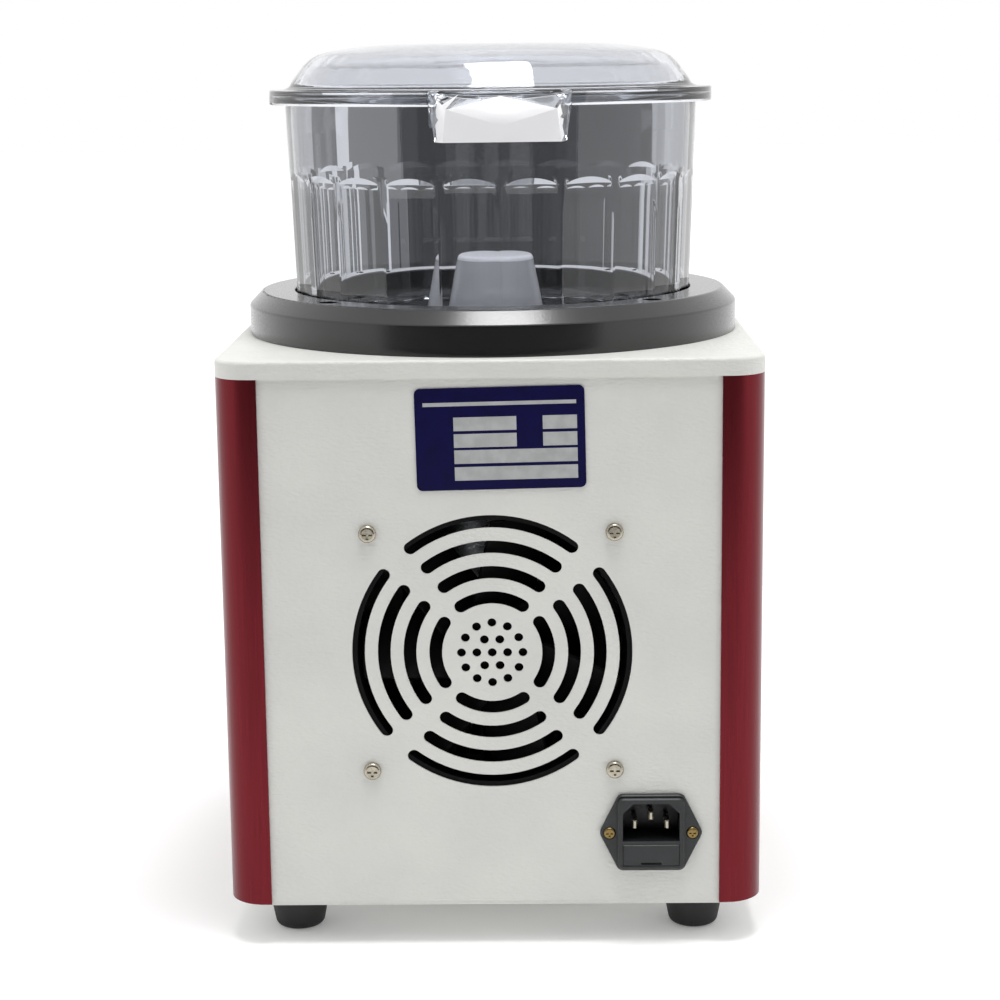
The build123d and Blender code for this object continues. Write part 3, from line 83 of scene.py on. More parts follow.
class TumblerBowl(bpy.types.PropertyGroup):
    """Rule of the clear bowl's shape."""
    flats: IntProperty(name="Flats", description="Flats round the bowl", default=22, min=3)
    turn: FloatProperty(
        name="Turn", description="Angle of one land between flats from +Y towards -X",
        default=math.radians(3.3), subtype="ANGLE")
    foot_r: length("Foot radius", "Outside radius at the underside", 90.7)
    rim_r: length("Rim radius", "Outside radius at the rim", 94.4)
    height: length("Height", "Whole height", 105.7)
    wall: length("Wall", "Thickness of the wall", 2.8)
    floor: length("Floor", "Thickness of the floor", 3.2)
    flat_top: length("Top of the flats", "Height of the flats above the underside", 68.2)
    arch: length("Arch", "Rise of the arch over a flat", 3.2)
    land: length("Land", "What leaves a narrow round land between two flats", 0.08)
    lip_r: length("Lip radius", "Outside radius of the lip", 97.6)
    lip_h: length("Lip height", "Height of the lip", 3.2)
    hump_foot_r: length("Hump foot", "Radius of the hump at the floor", 28.0)
    hump_top_r: length("Hump top", "Radius of the hump at its top", 19.0)
    hump_top: length("Hump height", "Height of the hump above the underside", 32.0)
    hump_wall: length("Hump wall", "Thickness of the hump's wall", 2.4)


class TumblerDials(bpy.types.PropertyGroup):
    """Printed marks round the two knobs."""
    marks: IntProperty(name="Marks", description="Marks round each knob", default=11, min=2)
    mark_r: length("Mark radius", "Radius on which the marks start", 15.5)
    mark_l: length("Mark length", "Length of a mark", 2.6)
    mark_w: length("Mark width", "Width of a mark", 0.7)


class TumblerStage(bpy.types.PropertyGroup):
    """Camera and light."""
    lens: FloatProperty(name="Lens", description="Focal length in millimetres", default=81.3)
    sky: FloatProperty(name="Sky", description="Strength of the white surround", default=1.0)


# ---- small helpers ----
def linear(code):
    """A linear RGBA colour from an sRGB hex code."""
    parts = [int(code.lstrip("#")[i:i + 2], 16) / 255 for i in (0, 2, 4)]
    return (*[c / 12.92 if c <= 0.04045 else ((c + 0.055) / 1.055) ** 2.4 for c in parts], 1.0)


def add_node(tree, kind, settings=None, values=None, links=None):
    """Adds a node with its properties and input values, and links its inputs."""
    node = tree.nodes.new(kind)
    for key, value in (settings or {}).items():
        setattr(node, key, value)
    for key, value in (values or {}).items():
        node.inputs[key].default_value = value
    for key, socket in (links or {}).items():
        tree.links.new(socket, node.inputs[key])
    return node


def new_material(name):
    """A material with its shader, its tree and object coordinates."""
    made = bpy.data.materials.new(name)
    made.use_nodes = True
    tree = made.node_tree
    tree.nodes.clear()
    shader = add_node(tree, "ShaderNodeBsdfPrincipled")
    add_node(tree, "ShaderNodeOutputMaterial", links={"Surface": shader.outputs["BSDF"]})
    where = add_node(tree, "ShaderNodeTexCoord").outputs["Object"]
    return made, tree, shader, where


def grain(tree, where, millimetres, detail=2.0, stretch=(1, 1, 1)):
    """Noise whose bumps are about that many millimetres apart."""
    spread = add_node(tree, "ShaderNodeMapping", values={"Scale": stretch}, links={"Vector": where})
    return add_node(
        tree, "ShaderNodeTexNoise", values={"Scale": 1 / (millimetres * MM), "Detail": detail},
        links={"Vector": spread.outputs["Vector"]}).outputs["Fac"]


def spread_value(tree, source, low, high, start=0.35, end=0.65):
    """A value between low and high as the source goes from start to end."""
    return add_node(
        tree, "ShaderNodeMapRange",
        values={"From Min": start, "From Max": end, "To Min": low, "To Max": high},
        links={"Value": source}).outputs["Result"]


def mixed(tree, factor, code_a, code_b):
    """A colour between two hex codes."""
    return add_node(
        tree, "ShaderNodeMix", {"data_type": "RGBA"}, {6: linear(code_a), 7: linear(code_b)},
        {0: factor}).outputs[2]


def bump(tree, shader, height, millimetres, strength=1.0, sockets=("Normal",)):
    """Raises the surface by up to that many millimetres."""
    made = add_node(
        tree, "ShaderNodeBump", values={"Strength": strength, "Distance": millimetres * MM},
        links={"Height": height})
    for name in sockets:
        tree.links.new(made.outputs["Normal"], shader.inputs[name])


def darker(code, share):
    """A hex code with each channel times a share, which lightens it above one."""
    parts = [min(255, round(int(code.lstrip("#")[i:i + 2], 16) * share)) for i in (0, 2, 4)]
    return "#" + "".join(f"{c:02X}" for c in parts)


# ---- finishes ----
BAND_SCALE = 1 / (6.28 * MM)    # a Wave texture of this scale has its bands about 2 mm apart


def powder_coat(code):
    """Polyester powder coat on steel: a fine leathery texture that softens reflections."""
    made, tree, shader, where = new_material("polyester_powder_coat")
    peel = grain(tree, where, 2.0, 2.0, (0.8, 0.8, 1.6))
    tree.links.new(mixed(tree, spread_value(tree, grain(tree, where, 40.0), 0, 1), code,
                         darker(code, 0.975)), shader.inputs["Base Color"])
    tree.links.new(spread_value(tree, peel, 0.42, 0.58), shader.inputs["Roughness"])
    shader.inputs["IOR"].default_value = 1.5
    bump(tree, shader, peel, 0.4, 0.9)
    return made


def anodised(code):
    """Dyed anodised aluminium: a satin metal, deep red, with faint upright drawing lines."""
    made, tree, shader, where = new_material("anodised_aluminium_red")
    lines = grain(tree, where, 0.9, 2.0, (1, 1, 0.02))
    tree.links.new(mixed(tree, spread_value(tree, lines, 0, 1), code,
                         darker(code, 0.96)), shader.inputs["Base Color"])
    shader.inputs["Metallic"].default_value = 1.0
    tree.links.new(spread_value(tree, lines, 0.27, 0.37), shader.inputs["Roughness"])
    shader.inputs["Coat Weight"].default_value = 0.25
    shader.inputs["Coat Roughness"].default_value = 0.3
    bump(tree, shader, lines, 0.01, 0.25)
    return made


def textured_abs(code):
    """Spark-eroded black ABS: a fine glitter of tiny facets that greys at a low angle."""
    made, tree, shader, where = new_material("textured_abs_black")
    pits = add_node(
        tree, "ShaderNodeTexVoronoi", values={"Scale": 1 / (0.8 * MM)}, links={"Vector": where})
    fine = grain(tree, where, 0.8, 3.0)
    tree.links.new(mixed(tree, spread_value(tree, fine, 0, 1), code, darker(code, 1.5)),
                   shader.inputs["Base Color"])
    tree.links.new(spread_value(tree, fine, 0.3, 0.42), shader.inputs["Roughness"])
    shader.inputs["IOR"].default_value = 1.54
    shader.inputs["Specular IOR Level"].default_value = 0.25
    shader.inputs["Coat Weight"].default_value = 1.0
    shader.inputs["Coat Roughness"].default_value = 0.2
    bump(tree, shader, pits.outputs["Distance"], 0.03, 0.5, ("Normal", "Coat Normal"))
    return made


def smooth_black(code, name, rough, gloss=0.5):
    """Moulded nylon, PBT or ABS: an even, slightly cloudy black with soft highlights."""
    made, tree, shader, where = new_material(name)
    fine = grain(tree, where, 0.7, 2.0)
    tree.links.new(mixed(tree, spread_value(tree, grain(tree, where, 9.0), 0, 1), code,
                         darker(code, 1.35)), shader.inputs["Base Color"])
    tree.links.new(spread_value(tree, fine, rough - 0.05, rough + 0.08), shader.inputs["Roughness"])
    shader.inputs["IOR"].default_value = 1.53
    shader.inputs["Specular IOR Level"].default_value = gloss
    bump(tree, shader, fine, 0.03, 0.3)
    return made


def rubber(code):
    """Moulded natural rubber: matt, with a faint bloom."""
    made, tree, shader, where = new_material("moulded_rubber")
    cloud = grain(tree, where, 6.0, 3.0)
    tree.links.new(mixed(tree, spread_value(tree, cloud, 0, 1), code, darker(code, 1.6)),
                   shader.inputs["Base Color"])
    tree.links.new(spread_value(tree, cloud, 0.55, 0.7), shader.inputs["Roughness"])
    bump(tree, shader, grain(tree, where, 0.6), 0.04, 0.4)
    return made


def polycarbonate(name, tint, clear, low, high):
    """Injection moulded polycarbonate: glass-like where polished, pale and soft where frosted."""
    made, tree, shader, where = new_material(name)
    shader.inputs["Base Color"].default_value = linear(tint)
    shader.inputs["Transmission Weight"].default_value = clear
    shader.inputs["IOR"].default_value = 1.58
    tree.links.new(spread_value(tree, grain(tree, where, 30.0), low, high),
                   shader.inputs["Roughness"])
    return made


def metal(name, code, rough, spacing, spread=0.08, lift=0.01):
    """Bare or plated metal: its tint, a roughness that varies a little and fine tool marks."""
    made, tree, shader, where = new_material(name)
    marks = grain(tree, where, spacing, 3.0)
    tree.links.new(mixed(tree, spread_value(tree, grain(tree, where, spacing * 12), 0, 1), code,
                         darker(code, 0.88)), shader.inputs["Base Color"])
    shader.inputs["Metallic"].default_value = 1.0
    tree.links.new(spread_value(tree, marks, rough - spread, rough + spread),
                   shader.inputs["Roughness"])
    bump(tree, shader, marks, lift, 0.4)
    return made


def laminations():
    """Stacked silicon steel sheets: half a millimetre each, drawn about twice as thick to show."""
    made, tree, shader, where = new_material("silicon_steel_laminations")
    bands = add_node(
        tree, "ShaderNodeTexWave", {"wave_type": "BANDS", "bands_direction": "Z"},
        {"Scale": BAND_SCALE, "Distortion": 0.4}, {"Vector": where}).outputs["Fac"]
    tree.links.new(mixed(tree, bands, "#4E5054", "#7D7F82"), shader.inputs["Base Color"])
    shader.inputs["Metallic"].default_value = 1.0
    shader.inputs["Roughness"].default_value = 0.45
    bump(tree, shader, bands, 0.05, 0.5)
    return made


def enamelled_copper():
    """Varnished winding wire: warm coppery bands, drawn wider apart than the thin wire to show."""
    made, tree, shader, where = new_material("enamelled_copper_wire")
    bands = add_node(
        tree, "ShaderNodeTexWave", {"wave_type": "RINGS", "rings_direction": "Z"},
        {"Scale": BAND_SCALE, "Distortion": 1.5, "Detail": 2.0}, {"Vector": where})
    tree.links.new(mixed(tree, bands.outputs["Fac"], "#6E2F14", "#C46B33"),
                   shader.inputs["Base Color"])
    shader.inputs["Metallic"].default_value = 1.0
    shader.inputs["Roughness"].default_value = 0.32
    bump(tree, shader, bands.outputs["Fac"], 0.15, 0.7)
    return made


def plain_plastic(name, code, other, rough, spacing=3.0, gloss=0.5):
    """A coloured moulding or print with slight cloudiness and a soft sheen."""
    made, tree, shader, where = new_material(name)
    shader.inputs["Specular IOR Level"].default_value = gloss
    tree.links.new(mixed(tree, spread_value(tree, grain(tree, where, spacing), 0, 1), code, other),
                   shader.inputs["Base Color"])
    tree.links.new(spread_value(tree, grain(tree, where, 0.8), rough - 0.06, rough + 0.06),
                   shader.inputs["Roughness"])
    bump(tree, shader, grain(tree, where, 0.8), 0.02, 0.25)
    return made


def lamp_lens():
    """Green acrylic lamp lens: clear enough to glow in bright light."""
    made, tree, shader, where = new_material("green_acrylic_lens")
    tree.links.new(mixed(tree, grain(tree, where, 2.0), "#0E7A34", "#2FB45E"),
                   shader.inputs["Base Color"])
    shader.inputs["Transmission Weight"].default_value = 0.6
    shader.inputs["Roughness"].default_value = 0.12
    return made


FINISHES = {}


def make_finishes(f):
    """Every finish by its short name."""
    FINISHES.update(
        enamel=powder_coat(f.enamel),
        shell=anodised(f.shell),
        ring=textured_abs(f.black),
        rubber=rubber(f.rubber),
        clear=polycarbonate("clear_moulded_polycarbonate", "#F8FAFF", 1.0, 0.0, 0.03),
        frosted=polycarbonate("frosted_polycarbonate", "#FDFDFF", 0.1, 0.3, 0.4),
        milky=polycarbonate("thick_polycarbonate", "#FDFDFF", 0.55, 0.0, 0.02),
        inlet=smooth_black("#17191B", "glass_filled_nylon_black", 0.42),
        fan=smooth_black("#030304", "pbt_black", 0.6, 0.15),
        knob=smooth_black(f.black, "moulded_abs_black", 0.28),
        plate=plain_plastic(
            "printed_aluminium_blue", f.plate, darker(f.plate, 1.15), 0.35, 8.0, 0.15),
        field=plain_plastic("silver_screen_ink", f.field, darker(f.field, 0.93), 0.4, 5.0),
        overlay=plain_plastic(
            "printed_polyester_film", f.overlay, darker(f.overlay, 1.12), 0.38, 8.0, 0.25),
        print=plain_plastic("screen_print_white", "#E8E8E2", "#DEDED8", 0.5),
        nickel=metal("nickel_plated_steel", "#B9B2A2", 0.26, 0.7),
        zinc=metal("zinc_plated_steel", "#A9ADB2", 0.34, 1.2),
        dark_screw=metal("black_oxide_steel", "#2A2A2C", 0.4, 0.8),
        brass=metal("yellow_zinc_plate", "#8C774C", 0.32, 0.6),
        cast=metal("cast_aluminium", "#8E9194", 0.5, 1.6, 0.1, 0.06),
        turned=metal("machined_aluminium", "#B4B7BA", 0.28, 0.9),
        ground=metal("ground_steel", "#9C9FA3", 0.2, 0.8, 0.05),
        magnet=metal("nickel_plated_magnet", "#B6B4AE", 0.16, 2.0, 0.04),
        core=laminations(),
        copper=enamelled_copper(),
        fuse=metal("nickel_capped_glass", "#C9C7C0", 0.2, 1.0, 0.05),
        board=plain_plastic("solder_mask_green", "#1C5A33", "#14482A", 0.35, 2.0),
        board_part=plain_plastic("epoxy_black_parts", "#1A1B1E", "#26282C", 0.45),
        pale=plain_plastic("polypropylene_white", "#D8D9D6", "#CACBC8", 0.45, 12.0),
        phenolic=plain_plastic("phenolic_brown", "#4A3226", "#5A3D2E", 0.5, 4.0),
        red_rocker=plain_plastic("red_polycarbonate", "#A01218", "#B01A20", 0.25),
        lamp=lamp_lens(),
    )


WORN_BY = {
    "enamel": "rear_panel front_panel top_plate base_plate",
    "shell": "side_shell_left side_shell_right",
    "ring": "bowl_ring",
    "rubber": "foot_rear_left foot_rear_right foot_front_left foot_front_right",
    "clear": "bowl lid",
    "inlet": "inlet_body fuse_drawer",
    "fan": "fan_frame fan_impeller",
    "knob": "timer_knob speed_knob power_switch_body direction_switch_body direction_rocker",
    "plate": "nameplate",
    "overlay": "front_overlay",
    "nickel": "fan_screws inlet_pins",
    "zinc": "foot_screws base_screws top_screws fan_nuts motor_bracket bracket_standoffs "
            "motor_screws motor_can control_nuts disc_screws",
    "dark_screw": "ring_screws",
    "brass": "inlet_screws",
    "cast": "motor_top_cap motor_bottom_cap",
    "turned": "disc_hub magnet_disc",
    "ground": "motor_shaft motor_bearings timer_spindle speed_spindle",
    "magnet": "magnets",
    "core": "motor_stator motor_rotor",
    "copper": "motor_windings fan_coil",
    "fuse": "fuse",
    "board": "control_board",
    "board_part": "board_components",
    "pale": "run_capacitor board_standoffs",
    "phenolic": "timer_body speed_control",
    "red_rocker": "power_rocker",
    "lamp": "indicator_lamp",
}


def wear(obj, finish):
    """Gives an object one finish."""
    obj.data.materials.clear()
    obj.data.materials.append(FINISHES[finish])


def new_piece(name, mesh, finish, body):
    """A piece at the origin that rides on a body."""
    obj = bpy.data.objects.new(name, mesh)
    bpy.context.scene.collection.objects.link(obj)
    wear(obj, finish)
    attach(obj, body)
    return obj


def smooth_by_angle(mesh, degrees):
    """Smooth shading, sharp where two faces meet at more than an angle."""
    mesh.polygons.foreach_set("use_smooth", [True] * len(mesh.polygons))
    mesh.set_sharp_from_angle(angle=math.radians(degrees))


def finish_part(mesh, finish, inside):
    """Gives another finish to the faces whose centre passes a test."""
    mesh.materials.append(FINISHES[finish])
    for face in mesh.polygons:
        if inside(face.center):
            face.material_index = len(mesh.materials) - 1


# ---- clear bowl ----
FOOT_ROUND = 3 * MM        # rounding of the bowl's outside foot
UNDER_ROUND = 2 * MM       # under the hump
LIP_ROUND = 0.6 * MM       # the lip's outer edge
RIM_ROUND = 0.5 * MM       # the rim's inner edge
FLOOR_ROUND = 6 * MM       # inside, from wall to floor
HUMP_ROUND = 3 * MM        # at the hump's foot and its top
CROWN = 5 * MM             # how far the hump's frosted top reaches down
TAB_Y, TAB_X = 105 * MM, 40 * MM    # the lid's pull tabs lie past the one and within the other
ACROSS = 12                # steps across one flat
FOOT_STEPS, FLAT_STEPS, ARCH_STEPS, WALL_STEPS = 12, 8, 4, 10
HALVINGS = 40              # enough to find the arch's height to the last digit


def rounded(points, radius, steps):
    """The arc that rounds the middle one of three (radius, height) points."""
    a, b, c = (Vector(p) for p in points)
    u, v = (a - b).normalized(), (c - b).normalized()
    half = u.angle(v) / 2
    centre = b + (u + v).normalized() * (radius / math.sin(half))
    start, end = b + u * (radius / math.tan(half)), b + v * (radius / math.tan(half))
    p, q = start - centre, end - centre
    turn = p.angle_signed(q)
    arc = []
    for k in range(steps + 1):
        angle = -turn * k / steps
        x = p.x * math.cos(angle) - p.y * math.sin(angle)
        y = p.x * math.sin(angle) + p.y * math.cos(angle)
        arc.append((centre.x + x, centre.y + y))
    return arc


def bowl_columns(b):
    """Local angles across one flat with its two half lands, and where each land starts."""
    half = math.pi / b.flats
    apothem = (b.foot_r + b.land) * math.cos(half)
    edge = math.acos(apothem / b.foot_r)
    inner = [edge * (2 * k / ACROSS - 1) for k in range(ACROSS + 1)]
    return [-half, *inner, half], edge


def outside_rows(b, angle, edge):
    """The bowl's outside from its foot to its lip along one column, as (radius, height, crease)."""
    def cone(h):
        return b.foot_r + (b.rim_r - b.foot_r) * h / b.height

    def flat(h):
        return min(cone(h), (cone(h) + b.land) * math.cos(math.pi / b.flats) / math.cos(angle))

    on_flat = abs(angle) <= edge + HAIR
    arch_end = b.flat_top + b.arch
    d0 = (cone(b.flat_top) + b.land) * math.cos(math.pi / b.flats)
    d1 = cone(arch_end)
    if abs(angle) < edge - HAIR:
        low, high = b.flat_top, arch_end
        for _ in range(HALVINGS):
            mid = (low + high) / 2
            tilted = (d0 + (d1 - d0) * (mid - b.flat_top) / b.arch) / math.cos(angle)
            low, high = (mid, high) if tilted < cone(mid) else (low, mid)
        top = low
    else:
        top = b.flat_top
    crease = 1.0 if abs(abs(angle) - edge) < HAIR else 0.0
    foot = FOOT_ROUND
    rows = []
    for k in range(FOOT_STEPS + 1):
        turn = math.pi / 2 * k / FOOT_STEPS
        r = flat(foot) - foot + foot * math.sin(turn)
        rows.append((r, foot - foot * math.cos(turn), 0.0))
    for k in range(1, FLAT_STEPS + 1):
        h = foot + (b.flat_top - foot) * k / FLAT_STEPS
        rows.append((flat(h) if on_flat else cone(h), h, crease))
    for k in range(1, ARCH_STEPS + 1):
        h = b.flat_top + (top - b.flat_top) * k / ARCH_STEPS
        last = 1.0 if k == ARCH_STEPS else 0.0
        tilted = (d0 + (d1 - d0) * (h - b.flat_top) / b.arch) / math.cos(angle)
        rows.append((min(cone(h), tilted) if on_flat else cone(h), h, last))
    end = b.height - b.lip_h
    for k in range(1, WALL_STEPS + 1):
        h = top + (end - top) * k / WALL_STEPS
        rows.append((cone(h), h, 0.0))
    return rows


def bowl_profile(b, angle, edge):
    """One column of the whole bowl, from under the hump round to the hump's top."""
    hollow = b.hump_top - b.hump_wall
    under = [(0.0, hollow)]
    under += rounded([(0, hollow), (b.hump_top_r - b.hump_wall, hollow),
                      (b.hump_foot_r - b.hump_wall, 0)], UNDER_ROUND, 8)
    under += [(b.hump_foot_r - b.hump_wall, 0.0)]
    lip_low = b.height - b.lip_h
    lip = [(b.lip_r, lip_low)]
    lip += rounded([(b.lip_r, lip_low), (b.lip_r, b.height), (0, b.height)], LIP_ROUND, 5)
    inner_rim = b.rim_r - b.wall
    lip += rounded([(b.lip_r, b.height), (inner_rim, b.height), (b.foot_r - b.wall, b.floor)],
                   RIM_ROUND, 5)
    inside = [(inner_rim + (b.foot_r - inner_rim - b.wall) * k / WALL_STEPS,
               b.height - (b.height - b.floor) * k / WALL_STEPS) for k in range(1, WALL_STEPS)]
    inside += rounded([(inner_rim, b.height), (b.foot_r - b.wall, b.floor),
                       (b.hump_foot_r, b.floor)], FLOOR_ROUND, 16)
    inside += rounded([(b.foot_r - b.wall, b.floor), (b.hump_foot_r, b.floor),
                       (b.hump_top_r, b.hump_top)], HUMP_ROUND, 8)
    inside += rounded([(b.hump_foot_r, b.floor), (b.hump_top_r, b.hump_top), (0, b.hump_top)],
                      HUMP_ROUND, 12)
    inside += [(0.0, b.hump_top)]
    rows = [(r, h, 0.0) for r, h in under] + outside_rows(b, angle, edge)
    return rows + [(r, h, 0.0) for r, h in lip + inside]


def bowl_sector(b, z_bowl):
    """One flat's slice of the bowl as a mesh, its crease lines kept in an attribute."""
    angles, edge = bowl_columns(b)
    columns = [bowl_profile(b, a, edge) for a in angles]
    points, creases, faces = [], [], []
    for a, rows in zip(angles, columns):
        for r, h, crease in rows:
            points.append((r * math.sin(a), r * math.cos(a), z_bowl + h))
            creases.append(crease)
    count = len(columns[0])
    for c in range(len(angles) - 1):
        for k in range(count - 1):
            here, there = c * count + k, (c + 1) * count + k
            faces.append((here, here + 1, there + 1, there))
    mesh = bpy.data.meshes.new("bowl_slice")
    mesh.from_pydata(points, [], faces)
    mesh.attributes.new("crease_line", "FLOAT", "POINT").data.foreach_set("value", creases)
    return mesh


def repeat_round_tree(name):
    """A node tree that repeats a mesh round an axis: Count, Step, Turn, Axis, Merge and Finish."""
    tree = bpy.data.node_groups.new(name, "GeometryNodeTree")
    for label, kind in (("Geometry", "NodeSocketGeometry"), ("Count", "NodeSocketInt"),
                        ("Step", "NodeSocketFloat"), ("Turn", "NodeSocketFloat"),
                        ("Axis", "NodeSocketVector"), ("Merge", "NodeSocketFloat"),
                        ("Finish", "NodeSocketMaterial")):
        tree.interface.new_socket(label, in_out="INPUT", socket_type=kind)
    tree.interface.new_socket("Geometry", in_out="OUTPUT", socket_type="NodeSocketGeometry")
    given = add_node(tree, "NodeGroupInput").outputs
    spots = add_node(tree, "GeometryNodePoints", links={"Count": given["Count"]})
    index = add_node(tree, "GeometryNodeInputIndex").outputs["Index"]
    angle = add_node(tree, "ShaderNodeMath", {"operation": "MULTIPLY_ADD"},
                     links={0: given["Step"], 1: index, 2: given["Turn"]})
    turn = add_node(tree, "ShaderNodeVectorMath", {"operation": "SCALE"},
                    links={"Vector": given["Axis"], "Scale": angle.outputs[0]})
    copies = add_node(
        tree, "GeometryNodeInstanceOnPoints",
        links={"Points": spots.outputs[0], "Instance": given["Geometry"],
               "Rotation": turn.outputs[0]})
    real = add_node(tree, "GeometryNodeRealizeInstances", links={"Geometry": copies.outputs[0]})
    closed = add_node(tree, "GeometryNodeMergeByDistance",
                      links={"Geometry": real.outputs[0], "Distance": given["Merge"]})
    again = add_node(tree, "GeometryNodeRealizeInstances", links={"Geometry": closed.outputs[0]})
    worn = add_node(tree, "GeometryNodeSetMaterial",
                    links={"Geometry": again.outputs[0], "Material": given["Finish"]})
    add_node(tree, "NodeGroupOutput", links={0: worn.outputs[0]})
    return tree


def run_tree(mesh, tree, inputs, name):
    """The plain mesh that a node tree makes from a mesh and its named inputs."""
    holder = bpy.data.objects.new(name + "_source", mesh)
    bpy.context.scene.collection.objects.link(holder)
    modifier = holder.modifiers.new("shape", "NODES")
    modifier.node_group = tree
    for item in tree.interface.items_tree:
        if item.in_out == "INPUT" and item.name in inputs:
            modifier[item.identifier] = inputs[item.name]
    bpy.context.view_layer.update()
    seen = holder.evaluated_get(bpy.context.evaluated_depsgraph_get())
    made = bpy.data.meshes.new_from_object(seen)
    made.name = name
    holder.modifiers.clear()
    bpy.data.objects.remove(holder)
    return made


def outward(mesh):
    """Turns every face outwards."""
    shape = bmesh.new()
    shape.from_mesh(mesh)
    bmesh.ops.recalc_face_normals(shape, faces=shape.faces)
    shape.to_mesh(mesh)
    shape.free()


def crease_flats(mesh):
    """Keeps the edges of the flats and their arches crisp."""
    marks = mesh.attributes["crease_line"].data
    sharp = (mesh.attributes.get("sharp_edge")
             or mesh.attributes.new("sharp_edge", "BOOLEAN", "EDGE"))
    flags = [item.value for item in sharp.data]
    for edge in mesh.edges:
        a, b = edge.vertices
        if marks[a].value > 0.5 and marks[b].value > 0.5:
            flags[edge.index] = True
    sharp.data.foreach_set("value", flags)


class TUMBLER_OT_bowl(bpy.types.Operator):
    """Makes the clear bowl from one flat repeated round its axis"""
    bl_idname = "tumbler.bowl"
    bl_label = "Clear bowl"

    def execute(self, context):
        b = context.scene.tumbler_bowl
        z_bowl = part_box("bowl")[0].z
        tree = repeat_round_tree("repeat_round")
        mesh = run_tree(
            bowl_sector(b, z_bowl), tree,
            {"Count": b.flats, "Step": math.tau / b.flats, "Turn": b.turn + math.pi / b.flats,
             "Axis": (0, 0, 1), "Merge": WELD, "Finish": FINISHES["clear"]}, "clear_bowl")
        outward(mesh)
        smooth_by_angle(mesh, 22)
        crease_flats(mesh)
        piece = new_piece("clear_bowl", mesh, "clear", "bowl")
        finish_part(mesh, "milky", lambda c: math.hypot(c.x, c.y) < b.hump_foot_r + MM)
        crown = z_bowl + b.hump_top - CROWN
        finish_part(mesh, "frosted",
                    lambda c: math.hypot(c.x, c.y) < b.hump_foot_r and c.z > crown)
        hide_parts("bowl")
        return {"FINISHED"}


class TUMBLER_OT_lid(bpy.types.Operator):
    """Makes the clear lid as one welded, smoothly shaded shell"""
    bl_idname = "tumbler.lid"
    bl_label = "Clear lid"

    def execute(self, context):
        shape = bmesh.new()
        shape.from_mesh(NODES["lid"].data)
        bmesh.ops.remove_doubles(shape, verts=shape.verts, dist=WELD)
        mesh = bpy.data.meshes.new("clear_lid")
        shape.to_mesh(mesh)
        shape.free()
        smooth_by_angle(mesh, 24)
        piece = new_piece("clear_lid", mesh, "clear", "lid")
        finish_part(mesh, "frosted", lambda c: abs(c.y) > TAB_Y and abs(c.x) < TAB_X)
        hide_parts("lid")
        return {"FINISHED"}


class TUMBLER_OT_finishes(bpy.types.Operator):
    """Gives every piece of the frame its finish"""
    bl_idname = "tumbler.finishes"
    bl_label = "Finishes"

    def execute(self, context):
        make_finishes(context.scene.tumbler_finishes)
        for finish, names in WORN_BY.items():
            for name in names.split():
                wear(NODES[name], finish)
        left = sorted(set(NODES) - set(" ".join(WORN_BY.values()).split()))
        if left:
            raise RuntimeError(f"no finish for {left}")
        return {"FINISHED"}


# ---- printed marks ----
PRINT = 0.05 * MM                   # thickness of a printed mark
PLATE_HALF = (35.8, 21.8)           # the rear plate's half width and height, in millimetres
PLATE_TURN = math.radians(1.0)      # how far the rear plate leans
PLATE_FIELDS = (                    # (from the left, to, down from the top, height), in millimetres
    (3.5, 68.0, 6.9, 1.6), (16.2, 42.7, 15.4, 5.8), (53.8, 68.2, 15.4, 5.8),
    (16.2, 42.7, 22.5, 5.8), (53.8, 68.2, 22.5, 5.8), (16.2, 68.2, 29.4, 5.8),
    (16.2, 68.2, 36.6, 5.8),
)
POINTER = (-0.5 * MM, 0.5 * MM, 3 * MM, 9 * MM)     # a knob's pointer line, as in plate_mesh
SWEEPS = (                          # each knob, its body and how many degrees it turns
    ("timer_knob", "timer_knob", 300), ("speed_knob", "speed_knob", 270),
)


def plate_mesh(name, boxes, y, turn=0.0, centre=(0, 0)):
    """Thin upright rectangles at a depth y, as (x from, x to, z from, z to) about a centre."""
    shape = bmesh.new()
    for x0, x1, z0, z1 in boxes:
        made = bmesh.ops.create_cube(shape, size=1.0)["verts"]
        size = Matrix.Diagonal((x1 - x0, PRINT, z1 - z0, 1))
        spot = Matrix.Translation(((x0 + x1) / 2, 0, (z0 + z1) / 2))
        bmesh.ops.transform(shape, matrix=spot @ size, verts=made)
    place = Matrix.Translation((centre[0], y, centre[1])) @ Matrix.Rotation(turn, 4, "Y")
    bmesh.ops.transform(shape, matrix=place, verts=shape.verts)
    mesh = bpy.data.meshes.new(name)
    shape.to_mesh(mesh)
    shape.free()
    return mesh


class TUMBLER_OT_plate_fields(bpy.types.Operator):
    """Prints the blank silver fields and the plain title bar on the rear plate"""
    bl_idname = "tumbler.plate_fields"
    bl_label = "Plate fields"

    def execute(self, context):
        low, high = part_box("nameplate")
        centre = ((low.x + high.x) / 2, (low.z + high.z) / 2)
        half_w, half_h = PLATE_HALF
        boxes = [[v * MM for v in (half_w - x1, half_w - x0, half_h - down - tall / 2,
                                   half_h - down + tall / 2)]
                 for x0, x1, down, tall in PLATE_FIELDS]
        mesh = plate_mesh("plate_fields", boxes, high.y - 0.005 * MM, PLATE_TURN, centre)
        piece = new_piece("plate_fields", mesh, "field", "root")
        return {"FINISHED"}


